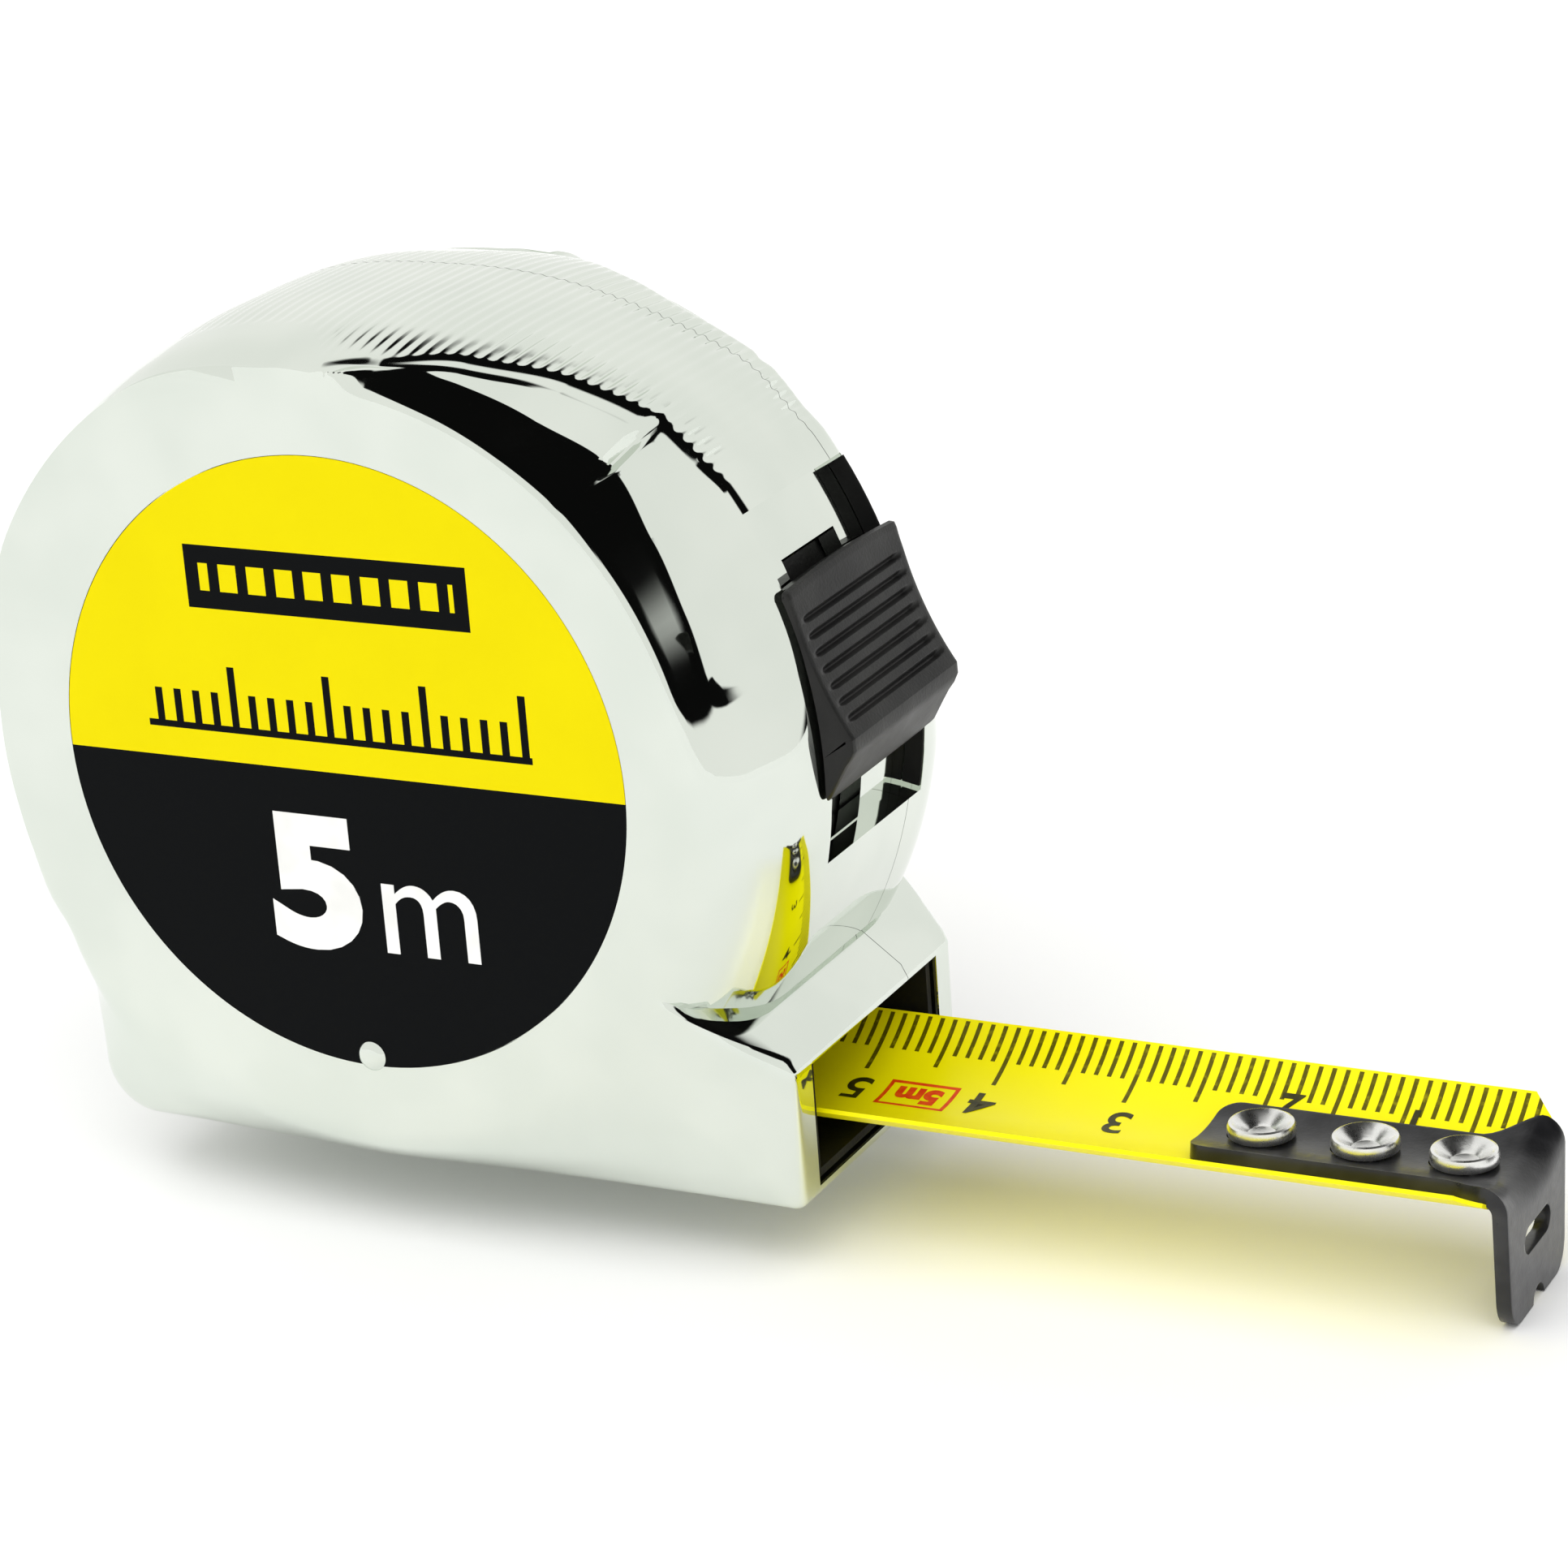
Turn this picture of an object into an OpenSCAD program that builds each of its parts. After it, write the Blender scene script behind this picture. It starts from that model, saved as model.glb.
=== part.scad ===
// Pocket tape measure: chromed two-part case, spring-driven reel, curved steel
// blade with a sliding end hook, thumb lock and belt clip.
// The blade runs out along +X, the label side is -Y, and the flat base is z = 0
// under the reel's axis.

/* [Reel] */
// Radius of the wound blade
roll_r = 22.8; // [19:0.1:28]
// Outer radius of the hub that the blade winds on
hub_r = 16; // [14:0.1:17]
// Radius of the fixed centre post
post_r = 4; // [3:0.1:5]
// Number of turns in the mainspring
spring_turns = 9; // [5:1:12]
// Thickness of the mainspring strip
spring_t = 0.35; // [0.2:0.05:0.5]

/* [Blade] */
// Width of the blade measured around its curve
blade_w = 19; // [15.5:0.5:23]
// Radius of the blade's cross curve at mid thickness
blade_curve_r = 14.2; // [13:0.1:18]
// Thickness of the blade with its coating
blade_t = 0.3; // [0.2:0.05:0.4]
// Length of blade standing out of the mouth
blade_out = 47.1; // [35:0.1:60]
// Length of straight blade kept inside the mouth
blade_inside = 8.2; // [7:0.1:9]

/* [Case] */
// Gap between the reel and the rim wall, which the case screws stand in
screw_room = 4; // [3.8:0.1:6]
// Thickness of the rim wall
rim_wall = 2.9; // [2.4:0.1:3.5]
// Gap between the reel's flanges and the side walls
side_room = 2.6; // [2.2:0.1:4]
// Thickness of the side walls
side_wall = 3; // [2.6:0.1:3.6]
// Rounding between the side faces and the rim
shoulder_r = 3; // [2:0.1:3.2]
// Step from the round case out to the front band
front_step = 3.1; // [3:0.1:4]
// Radius of the flat top slope that joins the crown to the front band
crown_r = 47; // [42:0.5:56]
// Half of the width of the front band and crown slope
band_half_w = 9.5; // [9.2:0.1:11.5]
// Gap between the round case's lowest point and the base
base_drop = 0.7; // [0.5:0.1:2]
// Distance of the heel's rear face in from the case's rearmost point
heel_inset = 4.3; // [3.5:0.1:5]
// Distance of the nose's front face out from the round case
nose_out = 1.4; // [1:0.1:2]
// Distance of the parting plane from the middle, towards the clip side
parting_y = 5.5; // [5:0.1:7]

/* [Mouth] */
// Gap between the blade's edges and the mouth's sides
mouth_side_gap = 1; // [0.9:0.1:1.5]
// Thickness of the case beside the mouth
mouth_side_wall = 3.2; // [2.5:0.1:4]
// Height of the mouth's lower lip above the base
mouth_low_z = 1.2; // [1:0.1:1.6]
// Gap between the blade's edges and the mouth's upper lip
mouth_head_gap = 3.85; // [3.2:0.05:4.5]

/* [Hook] */
// Sheet thickness of the hook, which is also its free play
hook_t = 1.2; // [0.9:0.1:1.5]
// Half of the hook plate's width
hook_half_w = 6.2; // [5.4:0.1:8]
// Drop of the hook plate below the base
hook_drop = 4.9; // [4.4:0.1:8]
// Half of the width of the hook's tab
tab_half_w = 3.8; // [3.4:0.1:4.6]
// Distances of the rivets back from the blade's end
rivet_back = [3.7, 10.7, 18.2];
// Radius of a rivet's shank
rivet_r = 1.2; // [1:0.1:1.5]
// Radius of a rivet's head
rivet_head_r = 2.4; // [2:0.1:2.9]

/* [Thumb lock] */
// Half of the width of the thumb pad
pad_half_w = 8.7; // [7.8:0.1:9]
// Angle of the pad's top edge above the horizontal, when locked
pad_top_angle = 21.5; // [20:0.5:23]
// Angle that the lever turns through from locked to free
lever_travel = 9; // [6:0.5:10]
// Number of grip ribs across the pad
pad_ribs = 6; // [4:1:8]

/* [Labels and fasteners] */
// Gap between a label and the heads of the case screws
label_gap = 1; // [0.5:0.1:3]
// Thickness of the labels
label_t = 0.4; // [0.2:0.1:0.6]
// Angles of the case screws around the axis
screw_angles = [62, 140, 208, -25];
// Radius of a case screw's head
screw_head_r = 1.9; // [1.5:0.1:2]
// Radius of a case screw's shank
screw_r = 0.9; // [0.7:0.05:1.1]

/* [Belt clip] */
// Width of the belt clip
clip_w = 14; // [11:0.5:17]
// Sheet thickness of the belt clip
clip_t = 1; // [0.8:0.1:1.2]
// Gap between the clip's long leg and the case
clip_gap = 3.2; // [2.6:0.1:4]
// Height of the clip's screw above the axis
clip_screw_h = 18; // [16:0.5:19]

/* [Hidden] */
$fn = 96;

run_gap = 0.05;
slide_gap = 0.2;
free_gap = 0.3;
far = 100;
cut = 1;

// Reel, from the blade outwards
roll_half_w = blade_w / 2;
flange_in_y = roll_half_w + 0.2;
flange_out_y = flange_in_y + 1.2;
flange_r = roll_r + 0.6;
collar_r = 6.5;
thrust_t = 0.6;
thrust_r = 12;
collar_out_y = flange_out_y + side_room - thrust_t - free_gap;
hub_wall = 1.4;
hub_floor_gap = 0.6;
spring_in_r = post_r + 0.9;
spring_out_r = hub_r - hub_wall - spring_t / 2 - 0.02;
spring_steps = 20;
post_slot = 1;

// Outside of the case
case_r = flange_r + screw_room + rim_wall;
case_half_w = flange_out_y + side_room + side_wall;
axis_h = case_r + base_drop;
front_r = case_r + front_step;
heel_x = case_r - heel_inset;
nose_x = case_r + nose_out;

// Blade
blade_low_z = mouth_low_z + 1.65;
blade_curve_z = blade_low_z + blade_curve_r + blade_t / 2;
blade_half_angle = blade_w / 2 / blade_curve_r * 180 / PI;
blade_half_chord = blade_curve_r * sin(blade_half_angle);
blade_edge_z = blade_curve_z - blade_curve_r * cos(blade_half_angle);
blade_end_x = nose_x + blade_out;
blade_start_x = nose_x - blade_inside;
blade_tip_cut = 1.5;

// Inside of the case
cavity_r = case_r - rim_wall;
cavity_half_w = case_half_w - side_wall;
chamber_r = front_r - 2.5;
chamber_half_w = 7.5;
chamber_top_angle = 41;
chamber_low_angle = -75;
front_low_angle = -40;
mouth_half_w = blade_half_chord + mouth_side_gap;
mouth_high_z = blade_edge_z + mouth_head_gap;
channel_floor = mouth_low_z + 0.6;
channel_top = mouth_high_z - 0.4;
channel_half_w = mouth_half_w + 0.1;
base_half_w = mouth_half_w + mouth_side_wall;
heel_wall = 2;
heel_corner_r = 4;
base_edge_r = 3;
nose_top_z = mouth_high_z + 1;
nose_valley = [nose_x - 4.2, nose_top_z + 2.6];
nose_chin_r = 0.8;
liner_depth = 5.4;
liner_t = 0.6;
liner_inset = 0.4;

// Hook, nested on the blade's hollow side
tab_out_r = blade_curve_r - blade_t / 2 - 0.1;
tab_t = 1;
tab_in_r = tab_out_r - tab_t;
tab_len = 22.5;
tab_corner_r = 1.5;
tab_half_angle = 40;
flare_len = 4;
slot_gap = 0.1;
hook_x = blade_end_x + slot_gap;
hook_low_z = -hook_drop;
hook_corner_r = 2;
plate_top_z = blade_curve_z - sqrt(pow(tab_in_r, 2) - pow(hook_half_w, 2));
nail_slot = [5, 2];
nail_slot_z = hook_low_z + 4.1;
notch_r = 1.1;
rivet_head_t = 0.9;
rivet_head_z = blade_curve_z - sqrt(pow(tab_in_r, 2) - pow(rivet_head_r, 2)) + slot_gap;
rivet_foot_t = 0.5;
rivet_foot_r = 2;
rivet_bore_r = 0.8;

// Thumb lock: radii and angles about the reel's axis
lever_floor_r = front_r - 1.5;
recess_half_w = 7.5;
recess_low_angle = -12;
pad_low_angle = -4;
slot_half_w = 4;
stem_half_w = slot_half_w - slide_gap;
stem_low_angle = 3;
stem_high_angle = 15;
arm_out_r = chamber_r - 0.5;
arm_in_r = arm_out_r - 2.2;
arm_half_w = 6.5;
arm_top_angle = 24;
arm_neck_angle = -30;
foot_half_w = 4;
foot_z = rivet_head_z + rivet_head_t + slide_gap;
foot_angle = -56;
foot_span = 6;
foot_r = (axis_h - foot_z) / sin(-foot_angle);
foot_turn_gap = 2;
slot_turn_gap = 1;
pad_outline = [[front_r + 0.2, -1.7], [front_r + 1.8, 0.8], [front_r + 2.5, 2.6],
    [front_r - 2.2, 11.8], [front_r - 3.1, 12.5]];
pad_rib_r = 0.45;

// Stretch of blade between the roll and the lever's foot
lead_angle = 4.5;
lead_gap = 0.25;
lead_len = arm_in_r * cos(foot_angle) - 2;

// Fasteners
boss_r = 1.6;
screw_ring_r = flange_r + boss_r + free_gap;
label_r = screw_ring_r - screw_head_r - label_gap;
screw_head_t = 1.4;
screw_sink = 0.4;
screw_len = parting_y + 9.5;
head_gap = 0.15;
drive_t = 0.5;
drive_len = 1.3;
drive_w = 0.3;
clip_boss_r = 2.6;
clip_boss_y = flange_out_y + free_gap;
clip_hole_r = 1.5;
clip_head_r = 2.7;
clip_head_t = 1.1;
clip_top = clip_screw_h + 5;
clip_bend = clip_screw_h - 4;
clip_foot = -21;
clip_slope = 4;
clip_dip = 1.3;
clip_dip_h = 14;
clip_corner_r = 4;
post_screw_r = 1.4;
post_screw_head_r = 3;
post_screw_head_t = 1.3;
post_screw_len = 9;

function polar(r, a) = [r * cos(a), r * sin(a)];
function mix(a, b, t) = a + (b - a) * t;

// A flat outline in x and height above the axis, run from y0 to y1.
module along_y(y0, y1) {
    translate([0, y1, axis_h]) rotate([90, 0, 0]) linear_extrude(y1 - y0) children();
}

// A ring or cylinder about the reel's axis, from y0 to y1.
module disc(r, y0, y1) {
    along_y(y0, y1) circle(r);
}

// A flat outline in y and height above the base, run from x0 to x1.
module along_x(x0, x1) {
    translate([x0, 0, 0]) rotate([90, 0, 90]) linear_extrude(x1 - x0) children();
}

// The part of the plane between two angles seen from the axis.
module wedge(a0, a1) {
    polygon([[0, 0], polar(far, a0), polar(far, (a0 + a1) / 2), polar(far, a1)]);
}

module sector(r_in, r_out, a0, a1) {
    intersection() {
        difference() {
            circle(r_out);
            circle(r_in);
        }
        wedge(a0, a1);
    }
}

// ---- Case ----

module round_body() {
    translate([0, 0, axis_h]) rotate([90, 0, 0]) rotate_extrude() {
        translate([0, -case_half_w]) square([case_r - shoulder_r, 2 * case_half_w]);
        translate([0, shoulder_r - case_half_w]) square([case_r, 2 * (case_half_w - shoulder_r)]);
        for (side = [-1, 1])
            translate([case_r - shoulder_r, side * (case_half_w - shoulder_r)]) circle(shoulder_r);
    }
}

// Crown slope and front band, seen from the side.
module front_outline() {
    intersection() {
        translate([0, case_r - crown_r]) circle(crown_r);
        circle(front_r);
        wedge(front_low_angle, 90);
    }
}

module base_outline() {
    floor_z = -axis_h;
    heel_top = sqrt(pow(case_r, 2) - pow(heel_x, 2));
    translate([-heel_x, floor_z + heel_corner_r])
        square([2 * heel_corner_r, axis_h - heel_top - heel_corner_r]);
    translate([heel_corner_r - heel_x, floor_z + heel_corner_r]) circle(heel_corner_r);
    polygon([[heel_corner_r - heel_x, floor_z], [nose_x - nose_chin_r, floor_z],
        [nose_x, floor_z + nose_chin_r], [nose_x, floor_z + nose_top_z],
        [nose_valley[0], floor_z + nose_valley[1]], [0, floor_z + 2 * nose_valley[1]],
        [heel_corner_r - heel_x, floor_z + 2 * nose_valley[1]]]);
}

module base_section() {
    flat = base_half_w - base_edge_r;
    translate([-flat, 0]) square([2 * flat, axis_h]);
    translate([-base_half_w, base_edge_r]) square([2 * base_half_w, axis_h]);
    for (side = [-1, 1]) translate([side * flat, base_edge_r]) circle(base_edge_r);
}

module case_outside() {
    round_body();
    along_y(-band_half_w, band_half_w) front_outline();
    intersection() {
        along_y(-base_half_w, base_half_w) base_outline();
        along_x(-heel_x, nose_x) base_section();
    }
}

module case_inside() {
    disc(cavity_r, -cavity_half_w, cavity_half_w);
    along_y(-chamber_half_w, chamber_half_w) sector(0, chamber_r, chamber_low_angle, chamber_top_angle);
    along_y(-foot_half_w - free_gap, foot_half_w + free_gap) sector(arm_in_r, foot_r + free_gap,
        foot_angle - foot_turn_gap, foot_angle + foot_span + lever_travel + foot_turn_gap);
    translate([heel_wall - heel_x, -channel_half_w, channel_floor])
        cube([heel_x - heel_wall + nose_x - liner_depth, 2 * channel_half_w,
            channel_top - channel_floor]);
    translate([nose_x - liner_depth, -mouth_half_w, mouth_low_z])
        cube([far, 2 * mouth_half_w, mouth_high_z - mouth_low_z]);
}

// Recess that the thumb pad slides in, and the slot through its floor.
module lever_way() {
    along_y(-recess_half_w, recess_half_w)
        sector(lever_floor_r, front_r + cut, recess_low_angle,
            pad_top_angle + lever_travel + slot_turn_gap);
    along_y(-slot_half_w, slot_half_w)
        sector(chamber_r - cut, front_r, recess_low_angle,
            stem_high_angle + lever_travel + slot_turn_gap);
}

module at_screws() {
    for (a = screw_angles) translate([screw_ring_r * cos(a), 0, screw_ring_r * sin(a)]) children();
}

module case_solid() {
    difference() {
        union() {
            difference() {
                case_outside();
                case_inside();
            }
            at_screws() disc(boss_r, -case_half_w + cut, case_half_w - cut);
        }
        lever_way();
        for (side = [-1, 1]) label_recess(side);
        at_screws() disc(screw_r, parting_y - screw_len, case_half_w);
    }
}

module label_recess(side) {
    y_in = case_half_w - label_t;
    disc(label_r, min(side * y_in, side * case_half_w), max(side * y_in, side * case_half_w));
}

module left_shell() {
    color("#dfe4dc") intersection() {
        case_solid();
        translate([-far, -far, -far]) cube([2 * far, far + parting_y, 2 * far]);
    }
}

module right_shell() {
    color("#dfe4dc") difference() {
        union() {
            intersection() {
                case_solid();
                translate([-far, parting_y, -far]) cube([2 * far, far, 2 * far]);
            }
            translate([0, 0, clip_screw_h])
                disc(clip_boss_r, clip_boss_y, case_half_w - label_t);
        }
        at_screws() disc(screw_head_r + head_gap, case_half_w - screw_sink - screw_head_t, far);
        at_screws() disc(screw_r + head_gap, parting_y - cut, far);
        translate([0, 0, clip_screw_h]) disc(screw_r, clip_boss_y - cut, far);
        disc(post_screw_r + head_gap, cavity_half_w - cut, far);
        disc(post_screw_head_r + head_gap, case_half_w - label_t - post_screw_head_t, far);
    }
}

module left_label() {
    color("#e8c51c") disc(label_r, -case_half_w, label_t - case_half_w);
}

module right_label() {
    color("#e8c51c") difference() {
        disc(label_r, case_half_w - label_t, case_half_w);
        translate([0, 0, clip_screw_h]) disc(clip_hole_r, 0, far);
    }
}

module mouth_liner() {
    color("#17181a") translate([nose_x - liner_depth, 0, mouth_low_z]) difference() {
        translate([0, -mouth_half_w, 0])
            cube([liner_depth - liner_inset, 2 * mouth_half_w, mouth_high_z - mouth_low_z]);
        translate([-cut, liner_t - mouth_half_w, liner_t])
            cube([liner_depth + cut, 2 * (mouth_half_w - liner_t), far]);
    }
}

// ---- Fasteners ----

module case_screws() {
    head_y = case_half_w - screw_sink;
    color("#b9bcc0") at_screws() difference() {
        union() {
            disc(screw_head_r, head_y - screw_head_t, head_y);
            disc(screw_r, parting_y - screw_len + cut, head_y - screw_head_t);
        }
        cross_drive(screw_head_r, head_y);
    }
}

module cross_drive(head_r, head_y) {
    for (turn = [0, 90]) along_y(head_y - drive_t, head_y + cut)
        rotate(turn) square([drive_len * head_r, drive_w * head_r], center = true);
}

module clip_screw() {
    head_y = case_half_w + clip_t + clip_head_t;
    color("#b9bcc0") translate([0, 0, clip_screw_h]) difference() {
        union() {
            disc(clip_head_r, case_half_w + clip_t, head_y);
            disc(screw_r, clip_boss_y + free_gap, case_half_w + clip_t);
        }
        cross_drive(clip_head_r, head_y);
    }
}

module spindle_screw() {
    head_y = case_half_w - label_t;
    color("#b9bcc0") difference() {
        union() {
            disc(post_screw_head_r, head_y - post_screw_head_t, head_y);
            disc(post_screw_r, head_y - post_screw_len, head_y - post_screw_head_t);
        }
        cross_drive(post_screw_head_r, head_y);
    }
}

// The clip's side view is a bent strip: fixed leg, slope, long leg, dip and lifted foot.
module belt_clip() {
    y0 = case_half_w;
    leg = y0 + clip_gap;
    dip = y0 + clip_dip;
    top = axis_h + clip_top;
    bend = axis_h + clip_bend;
    foot = axis_h + clip_foot;
    lap = clip_t / 2;
    color("#c9ccd0") intersection() {
        difference() {
            along_x(-clip_w / 2, clip_w / 2) polygon([[y0, top], [y0 + clip_t, top],
                [y0 + clip_t, bend], [leg + clip_t, bend - clip_slope],
                [leg + clip_t, foot + clip_dip_h], [dip + clip_t, foot + clip_slope],
                [leg + clip_t, foot], [leg, foot - lap], [dip, foot + clip_slope - clip_t],
                [leg, foot + clip_dip_h], [leg, bend - clip_slope - lap], [y0, bend - lap]]);
            translate([0, 0, clip_screw_h]) disc(screw_r + head_gap, 0, far);
        }
        translate([0, 0, (clip_top + clip_foot) / 2]) along_y(0, far)
            round_plate(clip_w, clip_top - clip_foot + 2 * lap, clip_corner_r);
    }
}

module round_plate(w, h, r) {
    square([w - 2 * r, h], center = true);
    square([w, h - 2 * r], center = true);
    for (sx = [-1, 1], sz = [-1, 1]) translate([sx * (w / 2 - r), sz * (h / 2 - r)]) circle(r);
}

// ---- Reel ----

module spindle() {
    color("#2b2d30") difference() {
        disc(post_r, -cavity_half_w, cavity_half_w);
        translate([-post_slot / 2, -roll_half_w, axis_h - far])
            cube([post_slot, 2 * roll_half_w, far]);
        disc(post_screw_r, cavity_half_w - post_screw_len, far);
    }
}

module thrust_disc(side) {
    y_in = cavity_half_w - thrust_t;
    color("#e9e6da") difference() {
        disc(thrust_r, min(side * y_in, side * cavity_half_w), max(side * y_in, side * cavity_half_w));
        disc(post_r, -far, far);
    }
}

module drum_end(side) {
    difference() {
        union() {
            disc(flange_r, min(side * flange_in_y, side * flange_out_y),
                max(side * flange_in_y, side * flange_out_y));
            disc(collar_r, min(side * flange_in_y, side * collar_out_y),
                max(side * flange_in_y, side * collar_out_y));
        }
        disc(post_r + run_gap, -far, far);
    }
}

module drum() {
    color("#3a3d42") {
        drum_end(-1);
        difference() {
            disc(hub_r, -flange_in_y, flange_in_y);
            disc(hub_r - hub_wall, -far, far);
        }
    }
}

module drum_cover() {
    color("#3a3d42") drum_end(1);
}

// One face of the mainspring's spiral, set out by dr from its middle line.
function spiral(dr, steps) = [for (i = [0:steps])
    polar(mix(spring_in_r, spring_out_r, i / steps) + dr, -360 * spring_turns * i / steps)];

module mainspring() {
    steps = spring_steps * spring_turns;
    inside = spiral(-spring_t / 2, steps);
    outside = spiral(spring_t / 2, steps);
    half_w = flange_in_y - hub_floor_gap;
    color("#7d8288") along_y(-half_w, half_w)
        polygon(concat(outside, [for (i = [steps:-1:0]) inside[i]]));
}

module blade_roll() {
    color("#e8c51c") difference() {
        disc(roll_r, -roll_half_w, roll_half_w);
        disc(hub_r, -far, far);
    }
}

// ---- Blade and hook ----

// The blade's cross curve between two radii, out to a half angle.
module blade_curve(r_in, r_out, half_angle) {
    translate([0, blade_curve_z]) sector(r_in, r_out, -90 - half_angle, half_angle - 90);
}

module blade_lead() {
    half_w = roll_half_w;
    color("#e8c51c") translate([0, 0, axis_h - roll_r - lead_gap]) rotate([0, lead_angle, 0])
        translate([0, -half_w, -blade_t]) cube([lead_len, 2 * half_w, blade_t]);
}

module blade_strip() {
    half_w = blade_half_chord + cut;
    color("#e8c51c") difference() {
        along_x(blade_start_x, blade_end_x)
            blade_curve(blade_curve_r - blade_t / 2, blade_curve_r + blade_t / 2, blade_half_angle);
        for (side = [-1, 1]) translate([blade_end_x, side * half_w, 0]) rotate([0, 0, 45])
            cube([2 * blade_tip_cut, 2 * blade_tip_cut, far], center = true);
        for (back = rivet_back)
            translate([blade_end_x - back, 0, 0]) cylinder(r = rivet_r, h = axis_h / 2);
    }
}

module hook_tab() {
    x0 = hook_x - tab_len;
    x1 = hook_x - flare_len;
    flat = tab_half_w - tab_corner_r;
    intersection() {
        along_x(x0, hook_x) blade_curve(tab_in_r, tab_out_r, tab_half_angle);
        linear_extrude(far) {
            for (side = [-1, 1]) translate([x0 + tab_corner_r, side * flat]) circle(tab_corner_r);
            polygon([[x0, -flat], [x0 + tab_corner_r, -tab_half_w], [x1, -tab_half_w],
                [hook_x, -hook_half_w], [hook_x, hook_half_w], [x1, tab_half_w],
                [x0 + tab_corner_r, tab_half_w], [x0, flat]]);
        }
    }
}

module hook_plate() {
    flat = hook_half_w - hook_corner_r;
    corner_z = hook_low_z + hook_corner_r;
    along_x(hook_x, hook_x + hook_t) difference() {
        union() {
            translate([-hook_half_w, corner_z]) square([2 * hook_half_w, plate_top_z - corner_z]);
            translate([-flat, hook_low_z]) square([2 * flat, 2 * hook_corner_r]);
            for (side = [-1, 1]) translate([side * flat, corner_z]) circle(hook_corner_r);
        }
        translate([0, blade_curve_z]) circle(tab_in_r);
        translate([-nail_slot[0] / 2, nail_slot_z]) square(nail_slot);
        translate([0, hook_low_z]) circle(notch_r);
    }
}

module hook() {
    color("#1b1c1e") difference() {
        union() {
            hook_tab();
            hook_plate();
        }
        for (back = rivet_back) translate([blade_end_x - back, 0, 0]) linear_extrude(axis_h / 2) {
            circle(rivet_r + slot_gap);
            translate([-hook_t, 0]) circle(rivet_r + slot_gap);
            translate([-hook_t, -rivet_r - slot_gap]) square([hook_t, 2 * (rivet_r + slot_gap)]);
        }
    }
}

module hook_rivets() {
    color("#d9dbdd") for (back = rivet_back) translate([blade_end_x - back, 0, 0]) difference() {
        union() {
            translate([0, 0, rivet_head_z]) cylinder(r = rivet_head_r, h = rivet_head_t);
            translate([0, 0, blade_low_z]) cylinder(r = rivet_r, h = rivet_head_z - blade_low_z);
            translate([0, 0, blade_low_z - rivet_foot_t]) cylinder(r = rivet_foot_r, h = rivet_foot_t);
        }
        translate([0, 0, blade_low_z + blade_t]) cylinder(r = rivet_bore_r, h = far);
    }
}

// ---- Thumb lock ----

module thumb_lever() {
    guide_half_w = recess_half_w - slide_gap;
    guide_in_r = lever_floor_r + slide_gap;
    color("#1c1d1f") {
        along_y(-pad_half_w, pad_half_w) pad_section();
        along_y(-guide_half_w, guide_half_w)
            sector(guide_in_r, front_r + 2 * slide_gap, pad_low_angle + 1, pad_top_angle - 1);
        along_y(-stem_half_w, stem_half_w)
            sector(arm_in_r, guide_in_r + slide_gap, stem_low_angle, stem_high_angle);
        along_y(-arm_half_w, arm_half_w) sector(arm_in_r, arm_out_r, arm_neck_angle, arm_top_angle);
        along_y(-foot_half_w, foot_half_w) {
            sector(arm_in_r, arm_out_r, foot_angle, arm_neck_angle + 1);
            sector(arm_in_r, foot_r, foot_angle, foot_angle + foot_span);
        }
    }
}

module pad_section() {
    steps = pad_ribs - 1;
    difference() {
        union() {
            polygon(concat([polar(lever_floor_r, pad_low_angle)], pad_outline,
                [polar(lever_floor_r, pad_top_angle)]));
            for (i = [0:steps])
                translate(mix(pad_outline[2], pad_outline[3], i / steps)) circle(pad_rib_r, $fn = 24);
        }
        circle(front_r + slide_gap);
    }
}

left_shell();
right_shell();
left_label();
right_label();
spindle();
spindle_screw();
thrust_disc(-1);  // left_thrust_disc
thrust_disc(1);  // right_thrust_disc
drum();
drum_cover();
mainspring();
blade_roll();
blade_lead();
blade_strip();
hook();
hook_rivets();
thumb_lever();
mouth_liner();
case_screws();
belt_clip();
clip_screw();
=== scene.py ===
"""Pocket tape measure: the visual model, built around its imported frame."""

import logging
import math
from dataclasses import dataclass
from enum import Enum
from typing import Any, Callable, ClassVar, Iterable, Sequence

import bmesh
import bpy
from mathutils import Matrix, Vector


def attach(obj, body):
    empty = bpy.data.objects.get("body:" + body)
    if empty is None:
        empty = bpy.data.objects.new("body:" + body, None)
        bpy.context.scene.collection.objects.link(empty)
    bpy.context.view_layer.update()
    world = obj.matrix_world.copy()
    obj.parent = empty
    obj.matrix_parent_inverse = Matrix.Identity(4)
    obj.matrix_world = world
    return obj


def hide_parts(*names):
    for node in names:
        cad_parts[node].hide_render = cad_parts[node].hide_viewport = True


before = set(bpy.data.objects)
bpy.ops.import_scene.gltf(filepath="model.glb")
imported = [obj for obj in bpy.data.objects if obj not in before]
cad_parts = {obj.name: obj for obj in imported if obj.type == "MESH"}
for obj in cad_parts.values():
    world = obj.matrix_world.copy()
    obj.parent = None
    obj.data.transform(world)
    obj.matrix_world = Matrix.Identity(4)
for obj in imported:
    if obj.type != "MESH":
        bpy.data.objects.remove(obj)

LOG = logging.getLogger("tape_measure")
MM = 0.001

Colour = tuple[float, float, float, float]
Point2 = tuple[float, float]
Point3 = tuple[float, float, float]
# A ring's sector: its inner and outer radius, then its first and last angle in degrees.
Ring = tuple[float, float, float, float]

AXIS_X = Vector((1, 0, 0))
AXIS_Y = Vector((0, 1, 0))
AXIS_Z = Vector((0, 0, 1))


# ---------------------------------------------------------------- shader tools


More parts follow.
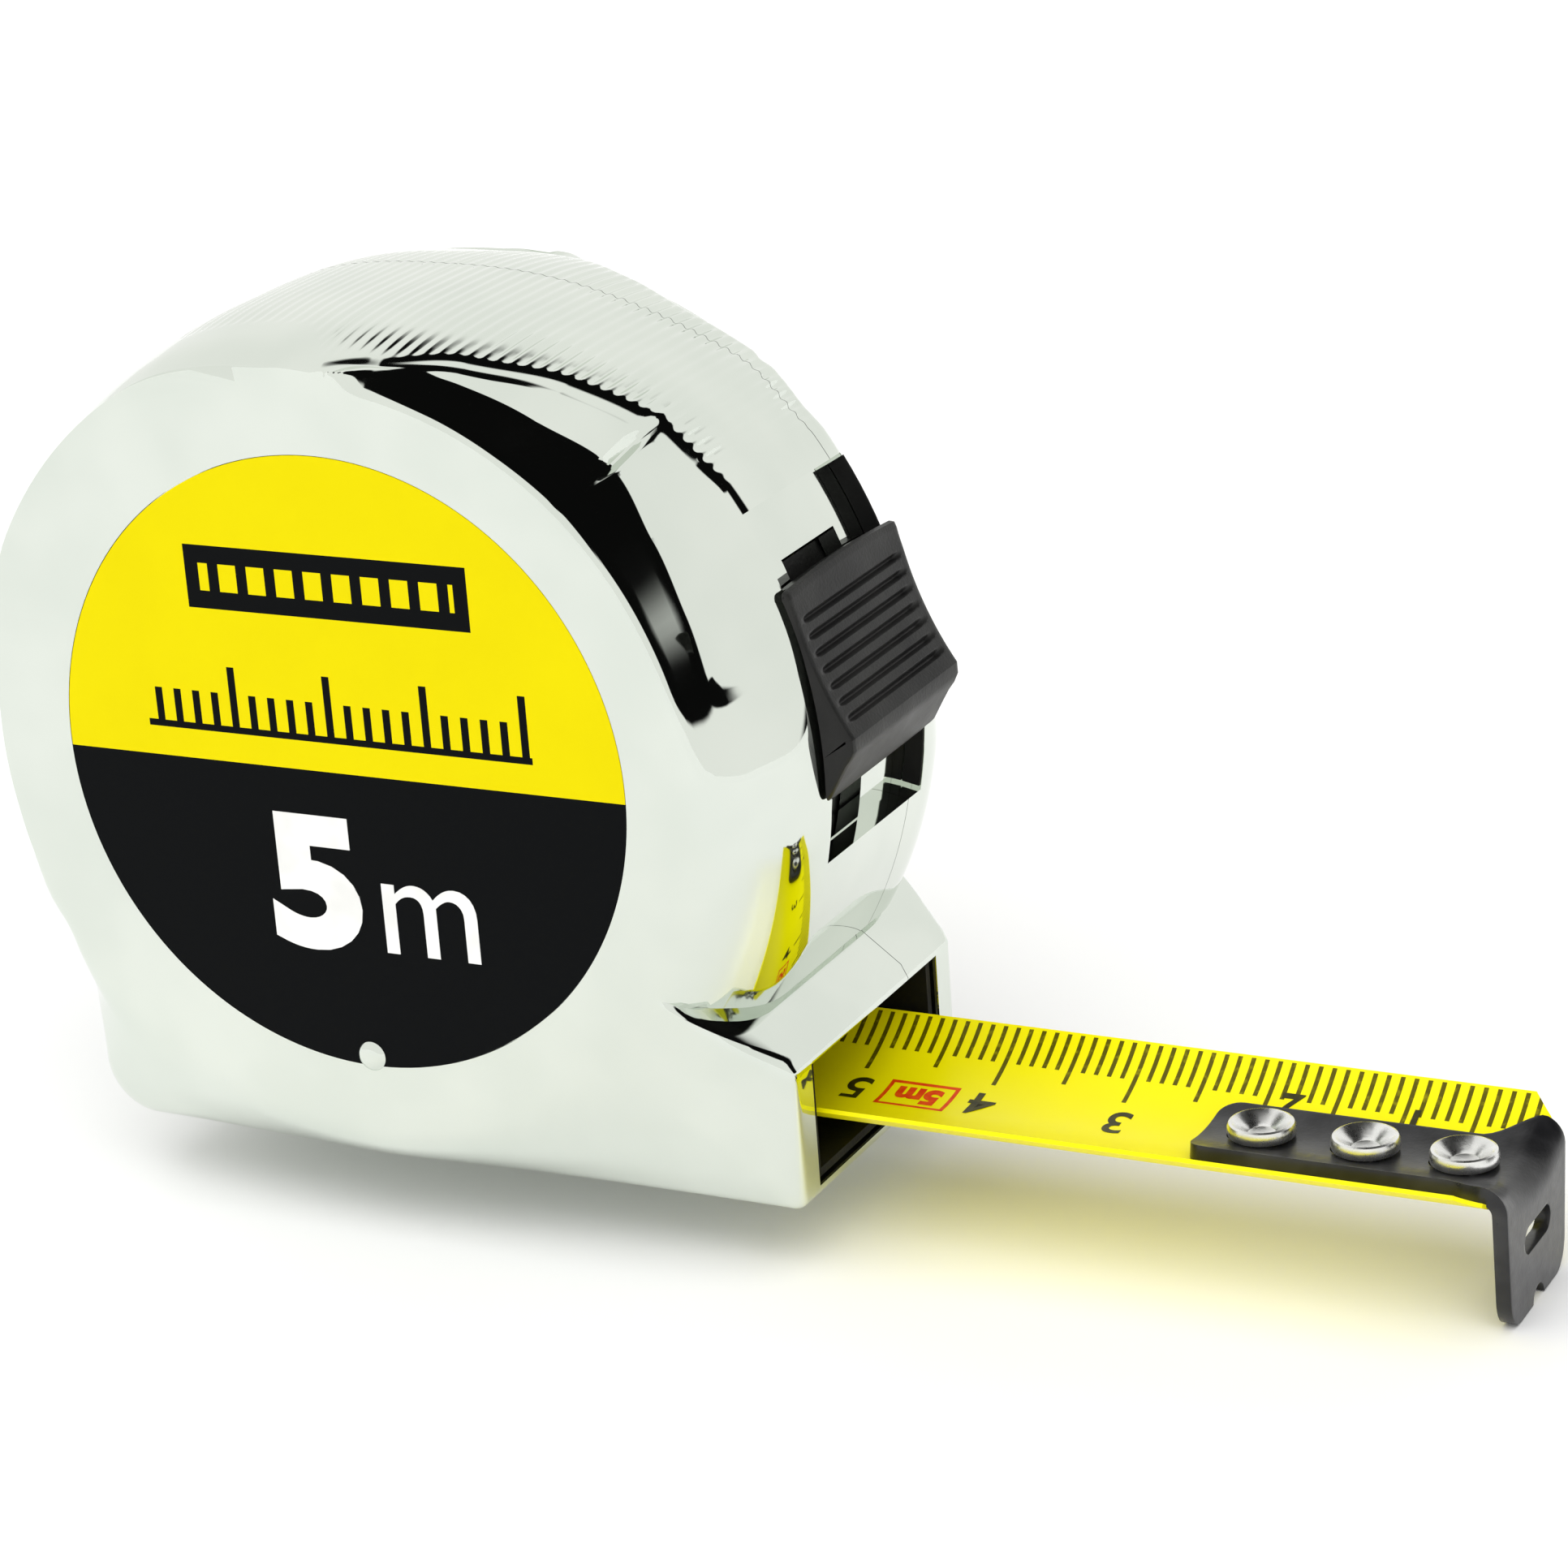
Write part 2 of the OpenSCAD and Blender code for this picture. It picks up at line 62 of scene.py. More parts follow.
class Value:
    """A shader number that takes part in Python arithmetic."""

    def __init__(self, graph: "Graph", socket: bpy.types.NodeSocket) -> None:
        """Wraps one output socket of a graph."""
        self.graph = graph
        self.socket = socket

    def _math(self, operation: str, *others: Any) -> "Value":
        """Adds a Math node that takes this value first.

        Args:
            operation: The Math node's operation.
            others: The values or numbers of its other sockets.

        Returns:
            The node's result.
        """
        return self.graph.math(operation, self, *others)

    def __add__(self, other: Any) -> "Value":
        """Adds."""
        return self._math("ADD", other)

    __radd__ = __add__

    def __sub__(self, other: Any) -> "Value":
        """Subtracts."""
        return self._math("SUBTRACT", other)

    def __rsub__(self, other: Any) -> "Value":
        """Subtracts this value from a number."""
        return self.graph.math("SUBTRACT", other, self)

    def __mul__(self, other: Any) -> "Value":
        """Multiplies."""
        return self._math("MULTIPLY", other)

    __rmul__ = __mul__

    def __truediv__(self, other: Any) -> "Value":
        """Divides."""
        return self._math("DIVIDE", other)

    def __mod__(self, other: Any) -> "Value":
        """Takes the remainder, never below zero."""
        return self._math("FLOORED_MODULO", other)

    def __lt__(self, other: Any) -> "Value":
        """Gives 1 where this value is the smaller."""
        return self._math("LESS_THAN", other)

    def __gt__(self, other: Any) -> "Value":
        """Gives 1 where this value is the greater."""
        return self._math("GREATER_THAN", other)

    def __abs__(self) -> "Value":
        """Drops the sign."""
        return self._math("ABSOLUTE")

    def rises(self, low: float, high: float) -> "Value":
        """Goes smoothly from 0 at low to 1 at high.

        Args:
            low: Where the rise starts.
            high: Where the rise ends.

        Returns:
            The smooth step.
        """
        node = self.graph.node(
            "ShaderNodeMapRange",
            {"interpolation_type": "SMOOTHSTEP"},
            {"Value": self, "From Min": low, "From Max": high},
        )
        return Value(self.graph, node.outputs["Result"])

    def within(self, low: float, high: float) -> "Value":
        """Gives 1 between two numbers and 0 outside them.

        Args:
            low: The lower number.
            high: The higher number.

        Returns:
            The mask.
        """
        return (self > low) * (self < high)


class Graph:
    """The node tree of a material or of the world."""

    def __init__(self, tree: bpy.types.NodeTree) -> None:
        """Starts from an empty tree."""
        self.tree = tree
        self.tree.nodes.clear()

    def node(self, kind: str, settings: dict[str, Any], inputs: dict[Any, Any]) -> bpy.types.Node:
        """Adds a node, sets its settings, then fills or links its sockets.

        Args:
            kind: The node's type.
            settings: The node's own properties.
            inputs: A value, socket or Value for each input, by index, name or identifier.

        Returns:
            The new node.
        """
        made = self.tree.nodes.new(kind)
        for key, setting in settings.items():
            setattr(made, key, setting)
        for key, given in inputs.items():
            target = made.inputs[key] if isinstance(key, int) else next(
                s for s in made.inputs if key in (s.identifier, s.name)
            )
            source = given.socket if isinstance(given, Value) else given
            if isinstance(source, bpy.types.NodeSocket):
                self.tree.links.new(source, target)
            else:
                target.default_value = source
        return made

    def math(self, operation: str, *values: Any) -> Value:
        """Adds a Math node.

        Args:
            operation: The node's operation.
            values: The values or numbers of its sockets.

        Returns:
            The node's result.
        """
        made = self.node("ShaderNodeMath", {"operation": operation}, dict(enumerate(values)))
        return Value(self, made.outputs[0])

    def blend(self, share: Any, first: Any, second: Any) -> bpy.types.NodeSocket:
        """Mixes two colours.

        Args:
            share: How much of the second colour there is.
            first: The colour at 0.
            second: The colour at 1.

        Returns:
            The mixed colour.
        """
        made = self.node(
            "ShaderNodeMix",
            {"data_type": "RGBA"},
            {"Factor_Float": share, "A_Color": first, "B_Color": second},
        )
        return next(s for s in made.outputs if s.identifier == "Result_Color")

    def place(self) -> bpy.types.NodeSocket:
        """Gives the point on the surface, in the piece's own coordinates."""
        return self.node("ShaderNodeTexCoord", {}, {}).outputs["Object"]

    def stretched(self, place: bpy.types.NodeSocket, scale: Point3) -> bpy.types.NodeSocket:
        """Scales a point, which draws a pattern out along an axis.

        Args:
            place: The point.
            scale: The scale along each axis.

        Returns:
            The scaled point.
        """
        return self.node("ShaderNodeMapping", {}, {"Vector": place, "Scale": scale}).outputs["Vector"]

    def noise(self, place: bpy.types.NodeSocket, grain: float, detail: float = 2.0) -> Value:
        """Adds soft noise.

        Args:
            place: The point that it is read at.
            grain: The size of its features, in millimetres.
            detail: How many finer layers it has.

        Returns:
            The noise, about 0.5 on average.
        """
        made = self.node(
            "ShaderNodeTexNoise", {}, {"Vector": place, "Scale": 1.0 / (grain * MM), "Detail": detail}
        )
        return Value(self, made.outputs[0])

    def split(self, place: bpy.types.NodeSocket) -> tuple[Value, Value, Value]:
        """Takes a point apart into x, y and z.

        Args:
            place: The point.

        Returns:
            Its three parts.
        """
        made = self.node("ShaderNodeSeparateXYZ", {}, {"Vector": place})
        return tuple(Value(self, s) for s in made.outputs)


# -------------------------------------------------------------------- finishes


@dataclass(frozen=True)
class Finish:
    """A surface finish, whose colour, gloss and grain vary a little over a piece."""

    name: str
    colour: Colour
    worn: Colour
    roughness: float
    slot: str
    metallic: float = 0.0
    gloss_spread: float = 0.08
    patch: float = 6.0
    grain: float = 0.35
    grain_depth: float = 0.01
    coat: float = 0.0
    drawn: Point3 = (1.0, 1.0, 1.0)
    coat_roughness: float = 0.08
    specular: float = 0.5

    def paint(self, graph: Graph, place: bpy.types.NodeSocket) -> Any:
        """Mixes the colour over the surface.

        Args:
            graph: The material's node tree.
            place: The point on the surface.

        Returns:
            The colour's socket.
        """
        return graph.blend(graph.noise(place, self.patch).rises(0.3, 0.75), self.colour, self.worn)

    def material(self) -> bpy.types.Material:
        """Builds the material, or gives the one that is already built.

        Returns:
            The material.
        """
        name = self.name + "_finish"
        known = bpy.data.materials.get(name)
        if known:
            return known
        made = bpy.data.materials.new(name)
        made.use_nodes = True
        graph = Graph(made.node_tree)
        place = graph.place()
        drawn = graph.stretched(place, self.drawn)
        gloss = (graph.noise(drawn, self.patch * 0.4, 3.0) - 0.5) * (2 * self.gloss_spread) + self.roughness
        fine = graph.noise(drawn, self.grain, 3.0)
        bump = graph.node(
            "ShaderNodeBump", {}, {"Height": fine, "Distance": self.grain_depth * MM, "Strength": 1.0}
        )
        shader = graph.node(
            "ShaderNodeBsdfPrincipled",
            {},
            {
                "Base Color": self.paint(graph, place),
                "Roughness": gloss,
                "Metallic": self.metallic,
                "Specular IOR Level": self.specular,
                "Coat Weight": self.coat,
                "Coat Roughness": self.coat_roughness,
                "Normal": bump.outputs["Normal"],
            },
        )
        graph.node("ShaderNodeOutputMaterial", {}, {"Surface": shader.outputs["BSDF"]})
        return made


@dataclass(frozen=True)
class LabelPrint(Finish):
    """Printed film: a bright upper half over a dark lower half, with plain bars and scale ticks."""

    dark: Colour = (0.0025, 0.003, 0.0035, 1.0)
    axis_z: float = 31.0
    split_z: float = -0.45
    bar: tuple[float, float, float, float] = (-11.0, 11.6, 10.8, 15.4)
    rule: tuple[float, float, float, float] = (-15.5, 15.5, 2.2, 6.6)
    cell_pitch: float = 2.3
    tick_pitch: float = 1.55
    far: float = 40.0

    def paint(self, graph: Graph, place: bpy.types.NodeSocket) -> Any:
        """Draws the two halves, the bar and the row of ticks.

        Args:
            graph: The material's node tree.
            place: The point on the surface.

        Returns:
            The colour's socket.
        """
        x, _, z = (part / MM for part in graph.split(place))
        z = z - self.axis_z
        left, right, low, high = self.bar
        steps = abs((x - left) % self.cell_pitch - self.cell_pitch / 2)
        bar = x.within(left, right) * z.within(low, high)
        inner = x.within(left + 1.1, right - 1.1) * z.within(low + 1.3, high - 1.3) * (steps < 0.72)
        rule_left, rule_right, rule_low, rule_high = self.rule
        counted = x + self.far
        offset = abs(counted % self.tick_pitch - self.tick_pitch / 2)
        long_tick = abs(counted % (5 * self.tick_pitch) - self.tick_pitch / 2) < 0.5
        height = (z - rule_low) < ((rule_high - rule_low) * (0.55 + 0.45 * long_tick))
        ticks = x.within(rule_left, rule_right) * (z > rule_low) * height * (offset < 0.3)
        base_line = x.within(rule_left, rule_right) * z.within(rule_low - 0.5, rule_low)
        ink = graph.math("MAXIMUM", bar * (1 - inner), graph.math("MAXIMUM", ticks, base_line))
        ink = graph.math("MAXIMUM", ink, z < self.split_z)
        paper = graph.blend(graph.noise(place, self.patch), self.colour, self.worn)
        return graph.blend(ink, paper, self.dark)


@dataclass(frozen=True)
class BladePrint(Finish):
    """Lacquer with a millimetre scale along the far edge."""

    ink: Colour = (0.10, 0.085, 0.0, 1.0)
    zero_x: float = 78.8
    edge_y: float = 8.55

    def paint(self, graph: Graph, place: bpy.types.NodeSocket) -> Any:
        """Draws a tick for each millimetre, longer at fives and tens.

        Args:
            graph: The material's node tree.
            place: The point on the surface.

        Returns:
            The colour's socket.
        """
        x, y, _ = (part / MM for part in graph.split(place))
        back = self.zero_x - x
        line = abs((back + 0.5) % 1.0 - 0.5) < 0.17
        five = abs((back + 0.5) % 5.0 - 0.5) < 0.4
        ten = abs((back + 0.5) % 10.0 - 0.5) < 0.4
        reach = 2.7 + 1.2 * five + 1.0 * ten
        ticks = line * (y < self.edge_y) * (y > self.edge_y - reach) * (back > 0.5)
        fade = graph.noise(place, 0.5).rises(0.2, 0.5)
        lacquer = graph.blend(graph.noise(place, self.patch), self.colour, self.worn)
        return graph.blend(ticks * (0.8 + 0.2 * fade), lacquer, self.ink)


CHROME = Finish(
    "bright_chrome", (0.69, 0.735, 0.675, 1), (0.74, 0.78, 0.72, 1), 0.05, "case_chrome",
    metallic=1.0, gloss_spread=0.01, patch=9.0, grain=4.0, grain_depth=0.0008,
)
LABEL = LabelPrint(
    "label_print", (0.82, 0.70, 0.0, 1), (0.77, 0.645, 0.0, 1), 0.38, "label_print",
    grain_depth=0.004, specular=0.05,
)
WHITE_INK = Finish("white_ink", (0.9, 0.9, 0.88, 1), (0.8, 0.8, 0.78, 1), 0.4, "label_print", patch=3.0)
SCALE_INK = Finish("scale_ink", (0.02, 0.018, 0.0, 1), (0.05, 0.045, 0.0, 1), 0.45, "blade_paint", patch=0.8)
RED_INK = Finish("red_ink", (0.75, 0.03, 0.0, 1), (0.85, 0.10, 0.0, 1), 0.45, "blade_paint", patch=0.8)
BLADE = BladePrint(
    "blade_lacquer", (0.97, 0.88, 0.0, 1), (0.92, 0.82, 0.0, 1), 0.34, "blade_paint",
    grain_depth=0.002, coat=0.05, specular=0.2,
)
GRIP = Finish(
    "grip_plastic", (0.008, 0.008, 0.008, 1), (0.018, 0.018, 0.017, 1), 0.4, "black_plastic",
    grain=0.22, grain_depth=0.02, specular=0.22,
)
LINER = Finish(
    "liner_plastic", (0.004, 0.004, 0.004, 1), (0.010, 0.010, 0.010, 1), 0.6, "black_plastic",
    grain=0.3, grain_depth=0.02, specular=0.15,
)
NYLON = Finish("white_nylon", (0.78, 0.76, 0.68, 1), (0.68, 0.66, 0.58, 1), 0.45, "white_nylon")
DRUM_PLASTIC = Finish("drum_plastic", (0.05, 0.055, 0.06, 1), (0.08, 0.085, 0.09, 1), 0.5, "grey_plastic")
SPRING = Finish(
    "blued_spring", (0.16, 0.18, 0.22, 1), (0.30, 0.30, 0.32, 1), 0.3, "spring_steel",
    metallic=1.0, drawn=(1, 8, 1),
)
BLACK_STEEL = Finish(
    "black_steel", (0.008, 0.008, 0.009, 1), (0.026, 0.026, 0.028, 1), 0.32, "black_steel",
    gloss_spread=0.1, patch=2.5, grain=0.3, grain_depth=0.012, coat=0.15, specular=0.35,
)
NICKEL = Finish(
    "bright_nickel", (0.82, 0.82, 0.80, 1), (0.90, 0.90, 0.88, 1), 0.28, "nickel",
    metallic=1.0, gloss_spread=0.07, patch=1.5, grain=0.3, grain_depth=0.008,
)
ZINC = Finish(
    "zinc_plate", (0.55, 0.56, 0.58, 1), (0.68, 0.69, 0.70, 1), 0.3, "zinc_steel",
    metallic=1.0, gloss_spread=0.1, patch=1.2, grain=0.2,
)
CLIP_STEEL = Finish(
    "clip_steel", (0.62, 0.63, 0.64, 1), (0.74, 0.75, 0.76, 1), 0.24, "clip_steel",
    metallic=1.0, gloss_spread=0.07, patch=4.0, grain=0.25, grain_depth=0.006, drawn=(6, 1, 0.3),
)

FLOOR = Finish(
    "pale_floor", (0.93, 0.93, 0.93, 1), (0.95, 0.95, 0.95, 1), 0.9, "none", patch=300.0, grain=40.0
)


# ----------------------------------------------------------------- shape tools


def rounded(
    points: Sequence[Point2], cuts: Sequence[float], counts: Sequence[int], bends: int
) -> list[Point2]:
    """Runs a line through points and rounds its corners.

    Args:
        points: The line's corners.
        cuts: How far before and after each inner corner its rounding starts.
        counts: How many steps each straight stretch has.
        bends: How many steps each rounding has.

    Returns:
        The points along the line, always the same number for the same counts.
    """
    corners = [Vector(p) for p in points]
    starts, ends = [corners[0]], []
    for i in range(1, len(corners) - 1):
        before, after = corners[i - 1] - corners[i], corners[i + 1] - corners[i]
        reach = min(cuts[i - 1], 0.48 * before.length, 0.48 * after.length)
        ends.append(corners[i] + before.normalized() * reach)
        starts.append(corners[i] + after.normalized() * reach)
    ends.append(corners[-1])
    line: list[Point2] = []
    for i, steps in enumerate(counts):
        line += straight(starts[i], ends[i], steps)
        if i + 1 < len(counts):
            line += bent(ends[i], corners[i + 1], starts[i + 1], bends)
    return line + [tuple(corners[-1])]


def arc(centre: Point2, radius: float, first: float, last: float, steps: int) -> list[Point2]:
    """Gives points round an arc, in degrees, without its last point."""
    turns = [math.radians(first + (last - first) * k / steps) for k in range(steps)]
    return [(centre[0] + radius * math.cos(t), centre[1] + radius * math.sin(t)) for t in turns]


def straight(first: Point2, last: Point2, steps: int) -> list[Point2]:
    """Gives points along a straight line, without its last point."""
    return [tuple(Vector(first).lerp(Vector(last), k / steps)) for k in range(steps)]


def bent(first: Point2, corner: Point2, last: Point2, steps: int) -> list[Point2]:
    """Gives points round a softened corner, without its last point.

    Args:
        first: Where the corner starts.
        corner: The corner itself.
        last: Where the corner ends.
        steps: The number of steps.

    Returns:
        The points.
    """
    a, b, c = Vector(first), Vector(corner), Vector(last)
    shares = [k / steps for k in range(steps)]
    return [tuple(a.lerp(b, t).lerp(b.lerp(c, t), t)) for t in shares]


def polar(radius: float, angle: float) -> Point2:
    """Gives the point at a radius and an angle in degrees."""
    return radius * math.cos(math.radians(angle)), radius * math.sin(math.radians(angle))


def sector(inner: float, outer: float, first: float, last: float) -> list[Point2]:
    """Gives the outline of a ring's sector.

    Args:
        inner: The ring's inner radius.
        outer: The ring's outer radius.
        first: The first angle, in degrees.
        last: The last angle, in degrees.

    Returns:
        The outline's points.
    """
    steps = max(4, int(abs(last - first) / 2))
    return arc((0, 0), outer, first, last, steps) + [polar(outer, last)] + (
        arc((0, 0), inner, last, first, steps) + [polar(inner, first)]
    )


def inset(radius: float, along: float) -> float:
    """Gives how far a rounded corner stands in from a side, at a distance along it from the end."""
    return radius - math.sqrt(max(0.0, radius ** 2 - max(0.0, radius - along) ** 2))


def smooth(low: float, high: float, value: float) -> float:
    """Goes smoothly from 0 at low to 1 at high."""
    share = min(1.0, max(0.0, (value - low) / (high - low)))
    return share * share * (3 - 2 * share)


class Workpiece:
    """A shape under construction, in millimetres, with z measured from the reel's axis."""

    axis_z: ClassVar[float] = 31.0

    def __init__(self) -> None:
        """Starts empty."""
        self.bm = bmesh.new()

    @classmethod
    def sheet(cls, columns: int, rows: int, place: Callable[[int, int], Sequence[float]]) -> "Workpiece":
        """Bends a flat grid into shape.

        Args:
            columns: The grid's faces one way.
            rows: The grid's faces the other way.
            place: Where the grid point of a column and row goes.

        Returns:
            The open sheet.
        """
        made = cls()
        bmesh.ops.create_grid(made.bm, x_segments=columns, y_segments=rows, size=0.5)
        for vert in made.bm.verts:
            vert.co = place(round((vert.co.x + 0.5) * columns), round((vert.co.y + 0.5) * rows))
        return made

    @classmethod
    def prism(
        cls, outline: Sequence[Point2], low: float, high: float, axis: Vector = AXIS_Y
    ) -> "Workpiece":
        """Runs a flat outline along an axis.

        Args:
            outline: The corners, in x and z, or in y and z for the x axis, or in x and y for the z axis.
            low: Where the prism starts along the axis.
            high: Where it ends.
            axis: The axis.

        Returns:
            The closed prism.
        """
        made = cls()
        if axis.x:
            corners = [(low, a, b) for a, b in outline]
        elif axis.y:
            corners = [(a, low, b) for a, b in outline]
        else:
            corners = [(a, b, low) for a, b in outline]
        face = made.bm.faces.new([made.bm.verts.new(c) for c in corners])
        pushed = bmesh.ops.extrude_face_region(made.bm, geom=[face])
        verts = [v for v in pushed["geom"] if isinstance(v, bmesh.types.BMVert)]
        bmesh.ops.translate(made.bm, verts=verts, vec=axis * (high - low))
        return made.capped()

    @classmethod
    def lathe(
        cls, profile: Sequence[Point2], centre: Sequence[float], axis: Vector, steps: int = 40
    ) -> "Workpiece":
        """Turns a profile about an axis.

        Args:
            profile: Radius and height of each point.
            centre: A point on the axis, where the height is zero.
            axis: The axis, along y or z.
            steps: The faces round the axis.

        Returns:
            The closed turned shape.
        """
        made = cls()
        middle = Vector(centre)
        verts = [made.bm.verts.new(middle + Vector((r, 0, 0)) + axis * h) for r, h in profile]
        edges = [made.bm.edges.new(pair) for pair in zip(verts, verts[1:])]
        bmesh.ops.spin(
            made.bm, geom=verts + edges, cent=middle, axis=axis,
            angle=2 * math.pi, steps=steps, use_merge=True,
        )
        return made.welded().oriented()

    def welded(self, gap: float = 1e-4) -> "Workpiece":
        """Joins points that lie together."""
        bmesh.ops.remove_doubles(self.bm, verts=self.bm.verts, dist=gap)
        bmesh.ops.dissolve_degenerate(self.bm, edges=self.bm.edges, dist=gap)
        return self

    def oriented(self) -> "Workpiece":
        """Turns every face outwards."""
        bmesh.ops.recalc_face_normals(self.bm, faces=self.bm.faces)
        return self

    def facing(self, way: Vector) -> "Workpiece":
        """Turns an open sheet so that most of it faces one way.

        Args:
            way: The way to face.

        Returns:
            This piece.
        """
        self.welded(1e-3).oriented()
        if sum(f.normal.dot(way) * f.calc_area() for f in self.bm.faces) < 0:
            bmesh.ops.reverse_faces(self.bm, faces=self.bm.faces)
        return self

    def capped(self) -> "Workpiece":
        """Closes the open ends."""
        bmesh.ops.holes_fill(self.bm, edges=[e for e in self.bm.edges if e.is_boundary], sides=0)
        return self.oriented()

    def thickened(self, thickness: float) -> "Workpiece":
        """Gives an open sheet a thickness, on the side away from its normals."""
        bmesh.ops.solidify(self.bm, geom=self.bm.faces, thickness=thickness)
        return self.oriented()

    def softened(self, width: float, angle: float = 40.0, segments: int = 2) -> "Workpiece":
        """Bevels the edges that turn by more than an angle.

        Args:
            width: The bevel's width.
            angle: The least turn of a bevelled edge, in degrees.
            segments: The bevel's steps.

        Returns:
            This piece.
        """
        least = math.radians(angle)
        sharp = [e for e in self.bm.edges if e.is_manifold and e.calc_face_angle(0.0) > least]
        bmesh.ops.bevel(
            self.bm, geom=sharp, offset=width, affect="EDGES", segments=segments,
            profile=0.5, material=-1, clamp_overlap=True,
        )
        return self

    def joined(self, others: Iterable["Workpiece"]) -> "Workpiece":
        """Takes in the meshes of other pieces.

        Args:
            others: The other pieces.

        Returns:
            This piece.
        """
        for other in others:
            loose = bpy.data.meshes.new("loose")
            other.bm.to_mesh(loose)
            self.bm.from_mesh(loose)
            bpy.data.meshes.remove(loose)
        return self

    def _object(self, name: str) -> bpy.types.Object:
        """Makes a working object of the shape, still in millimetres.

        Args:
            name: The object's name.

        Returns:
            The object.
        """
        mesh = bpy.data.meshes.new(name)
        self.bm.to_mesh(mesh)
        made = bpy.data.objects.new(name, mesh)
        bpy.context.scene.collection.objects.link(made)
        return made

    def carved(self, cutters: Iterable["Workpiece"], operation: str = "DIFFERENCE") -> "Workpiece":
        """Cuts other shapes out of this one, or keeps what lies in them.

        Args:
            cutters: The closed shapes to cut with, one after another.
            operation: The Boolean operation.

        Returns:
            A new piece.
        """
        blank = self._object("blank")
        tools = [cutter._object("cutter") for cutter in cutters]
        for tool in tools:
            cut = blank.modifiers.new("cut", "BOOLEAN")
            cut.operation, cut.solver, cut.object = operation, "MANIFOLD", tool
        bpy.context.view_layer.update()
        result = bpy.data.meshes.new_from_object(blank.evaluated_get(bpy.context.evaluated_depsgraph_get()))
        made = Workpiece()
        made.bm.from_mesh(result)
        for used in [blank, *tools]:
            bpy.data.objects.remove(used)
        return made

    def finished(
        self, name: str, body: str, finish: Finish, stands_for: Sequence[str] = (), smooth_to: float = 32.0
    ) -> bpy.types.Object:
        """Turns the shape into a piece of the model.

        Args:
            name: The piece's name.
            body: The body that it rides on.
            finish: Its finish.
            stands_for: The frame's nodes that it replaces.
            smooth_to: The largest angle between faces that still look smooth, in degrees.

        Returns:
            The piece.
        """
        bmesh.ops.transform(
            self.bm,
            matrix=Matrix.Scale(MM, 4) @ Matrix.Translation((0, 0, self.axis_z)),
            verts=self.bm.verts,
        )
        mesh = bpy.data.meshes.new(name)
        self.bm.to_mesh(mesh)
        self.bm.free()
        mesh.shade_smooth()
        mesh.set_sharp_from_angle(angle=math.radians(smooth_to))
        mesh.materials.append(finish.material())
        piece = bpy.data.objects.new(name, mesh)
        bpy.context.scene.collection.objects.link(piece)
        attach(piece, body)
        if stands_for:
            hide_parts(*stands_for)
        LOG.info("%s: %d faces on %s", name, len(mesh.polygons), body)
        return piece


def lettering(text: str, height: float, weight: float, depth: float) -> Workpiece:
    """Makes flat figures of the built-in face, centred on the origin in x and y.

    Args:
        text: The characters.
        height: The height of the whole, in millimetres.
        weight: How much the strokes are thickened, as a share of the em.
        depth: The thickness, in millimetres.

    Returns:
        The figures, facing +z.
    """
    curve = bpy.data.curves.new("letters", "FONT")
    curve.body, curve.offset, curve.resolution_u = text, weight, 6
    writer = bpy.data.objects.new("letters", curve)
    bpy.context.scene.collection.objects.link(writer)
    bpy.context.view_layer.update()
    flat = bpy.data.meshes.new_from_object(writer.evaluated_get(bpy.context.evaluated_depsgraph_get()))
    bpy.data.objects.remove(writer)
    made = Workpiece()
    made.bm.from_mesh(flat)
    made.welded(1e-5)
    low = Vector((min(v.co.x for v in made.bm.verts), min(v.co.y for v in made.bm.verts), 0))
    high = Vector((max(v.co.x for v in made.bm.verts), max(v.co.y for v in made.bm.verts), 0))
    bmesh.ops.translate(made.bm, verts=made.bm.verts, vec=-(low + high) / 2)
    scale = height / (high.y - low.y)
    bmesh.ops.scale(made.bm, verts=made.bm.verts, vec=(scale, scale, 1))
    pushed = bmesh.ops.extrude_face_region(made.bm, geom=made.bm.faces[:], use_keep_orig=True)
    raised = [v for v in pushed["geom"] if isinstance(v, bmesh.types.BMVert)]
    bmesh.ops.translate(made.bm, verts=raised, vec=(0, 0, depth))
    return made.oriented()


# ------------------------------------------------------------------------ case


@dataclass(frozen=True)
class Section:
    """How the case runs from a side face to its outline, at one turn forward from the top."""

    turn: float
    corner: float
    corner_round: float
    crease: float
    crease_y: float
    crease_round: float
    edge_y: float
    edge_round: float

    def values(self) -> tuple[float, ...]:
        """Gives the numbers that are blended between sections."""
        return (
            self.corner, self.corner_round, self.crease, self.crease_y, self.crease_round,
            self.edge_y, self.edge_round,
        )


class Side(Enum):
    """The two moulded halves of the case."""

    LEFT = -1
    RIGHT = 1


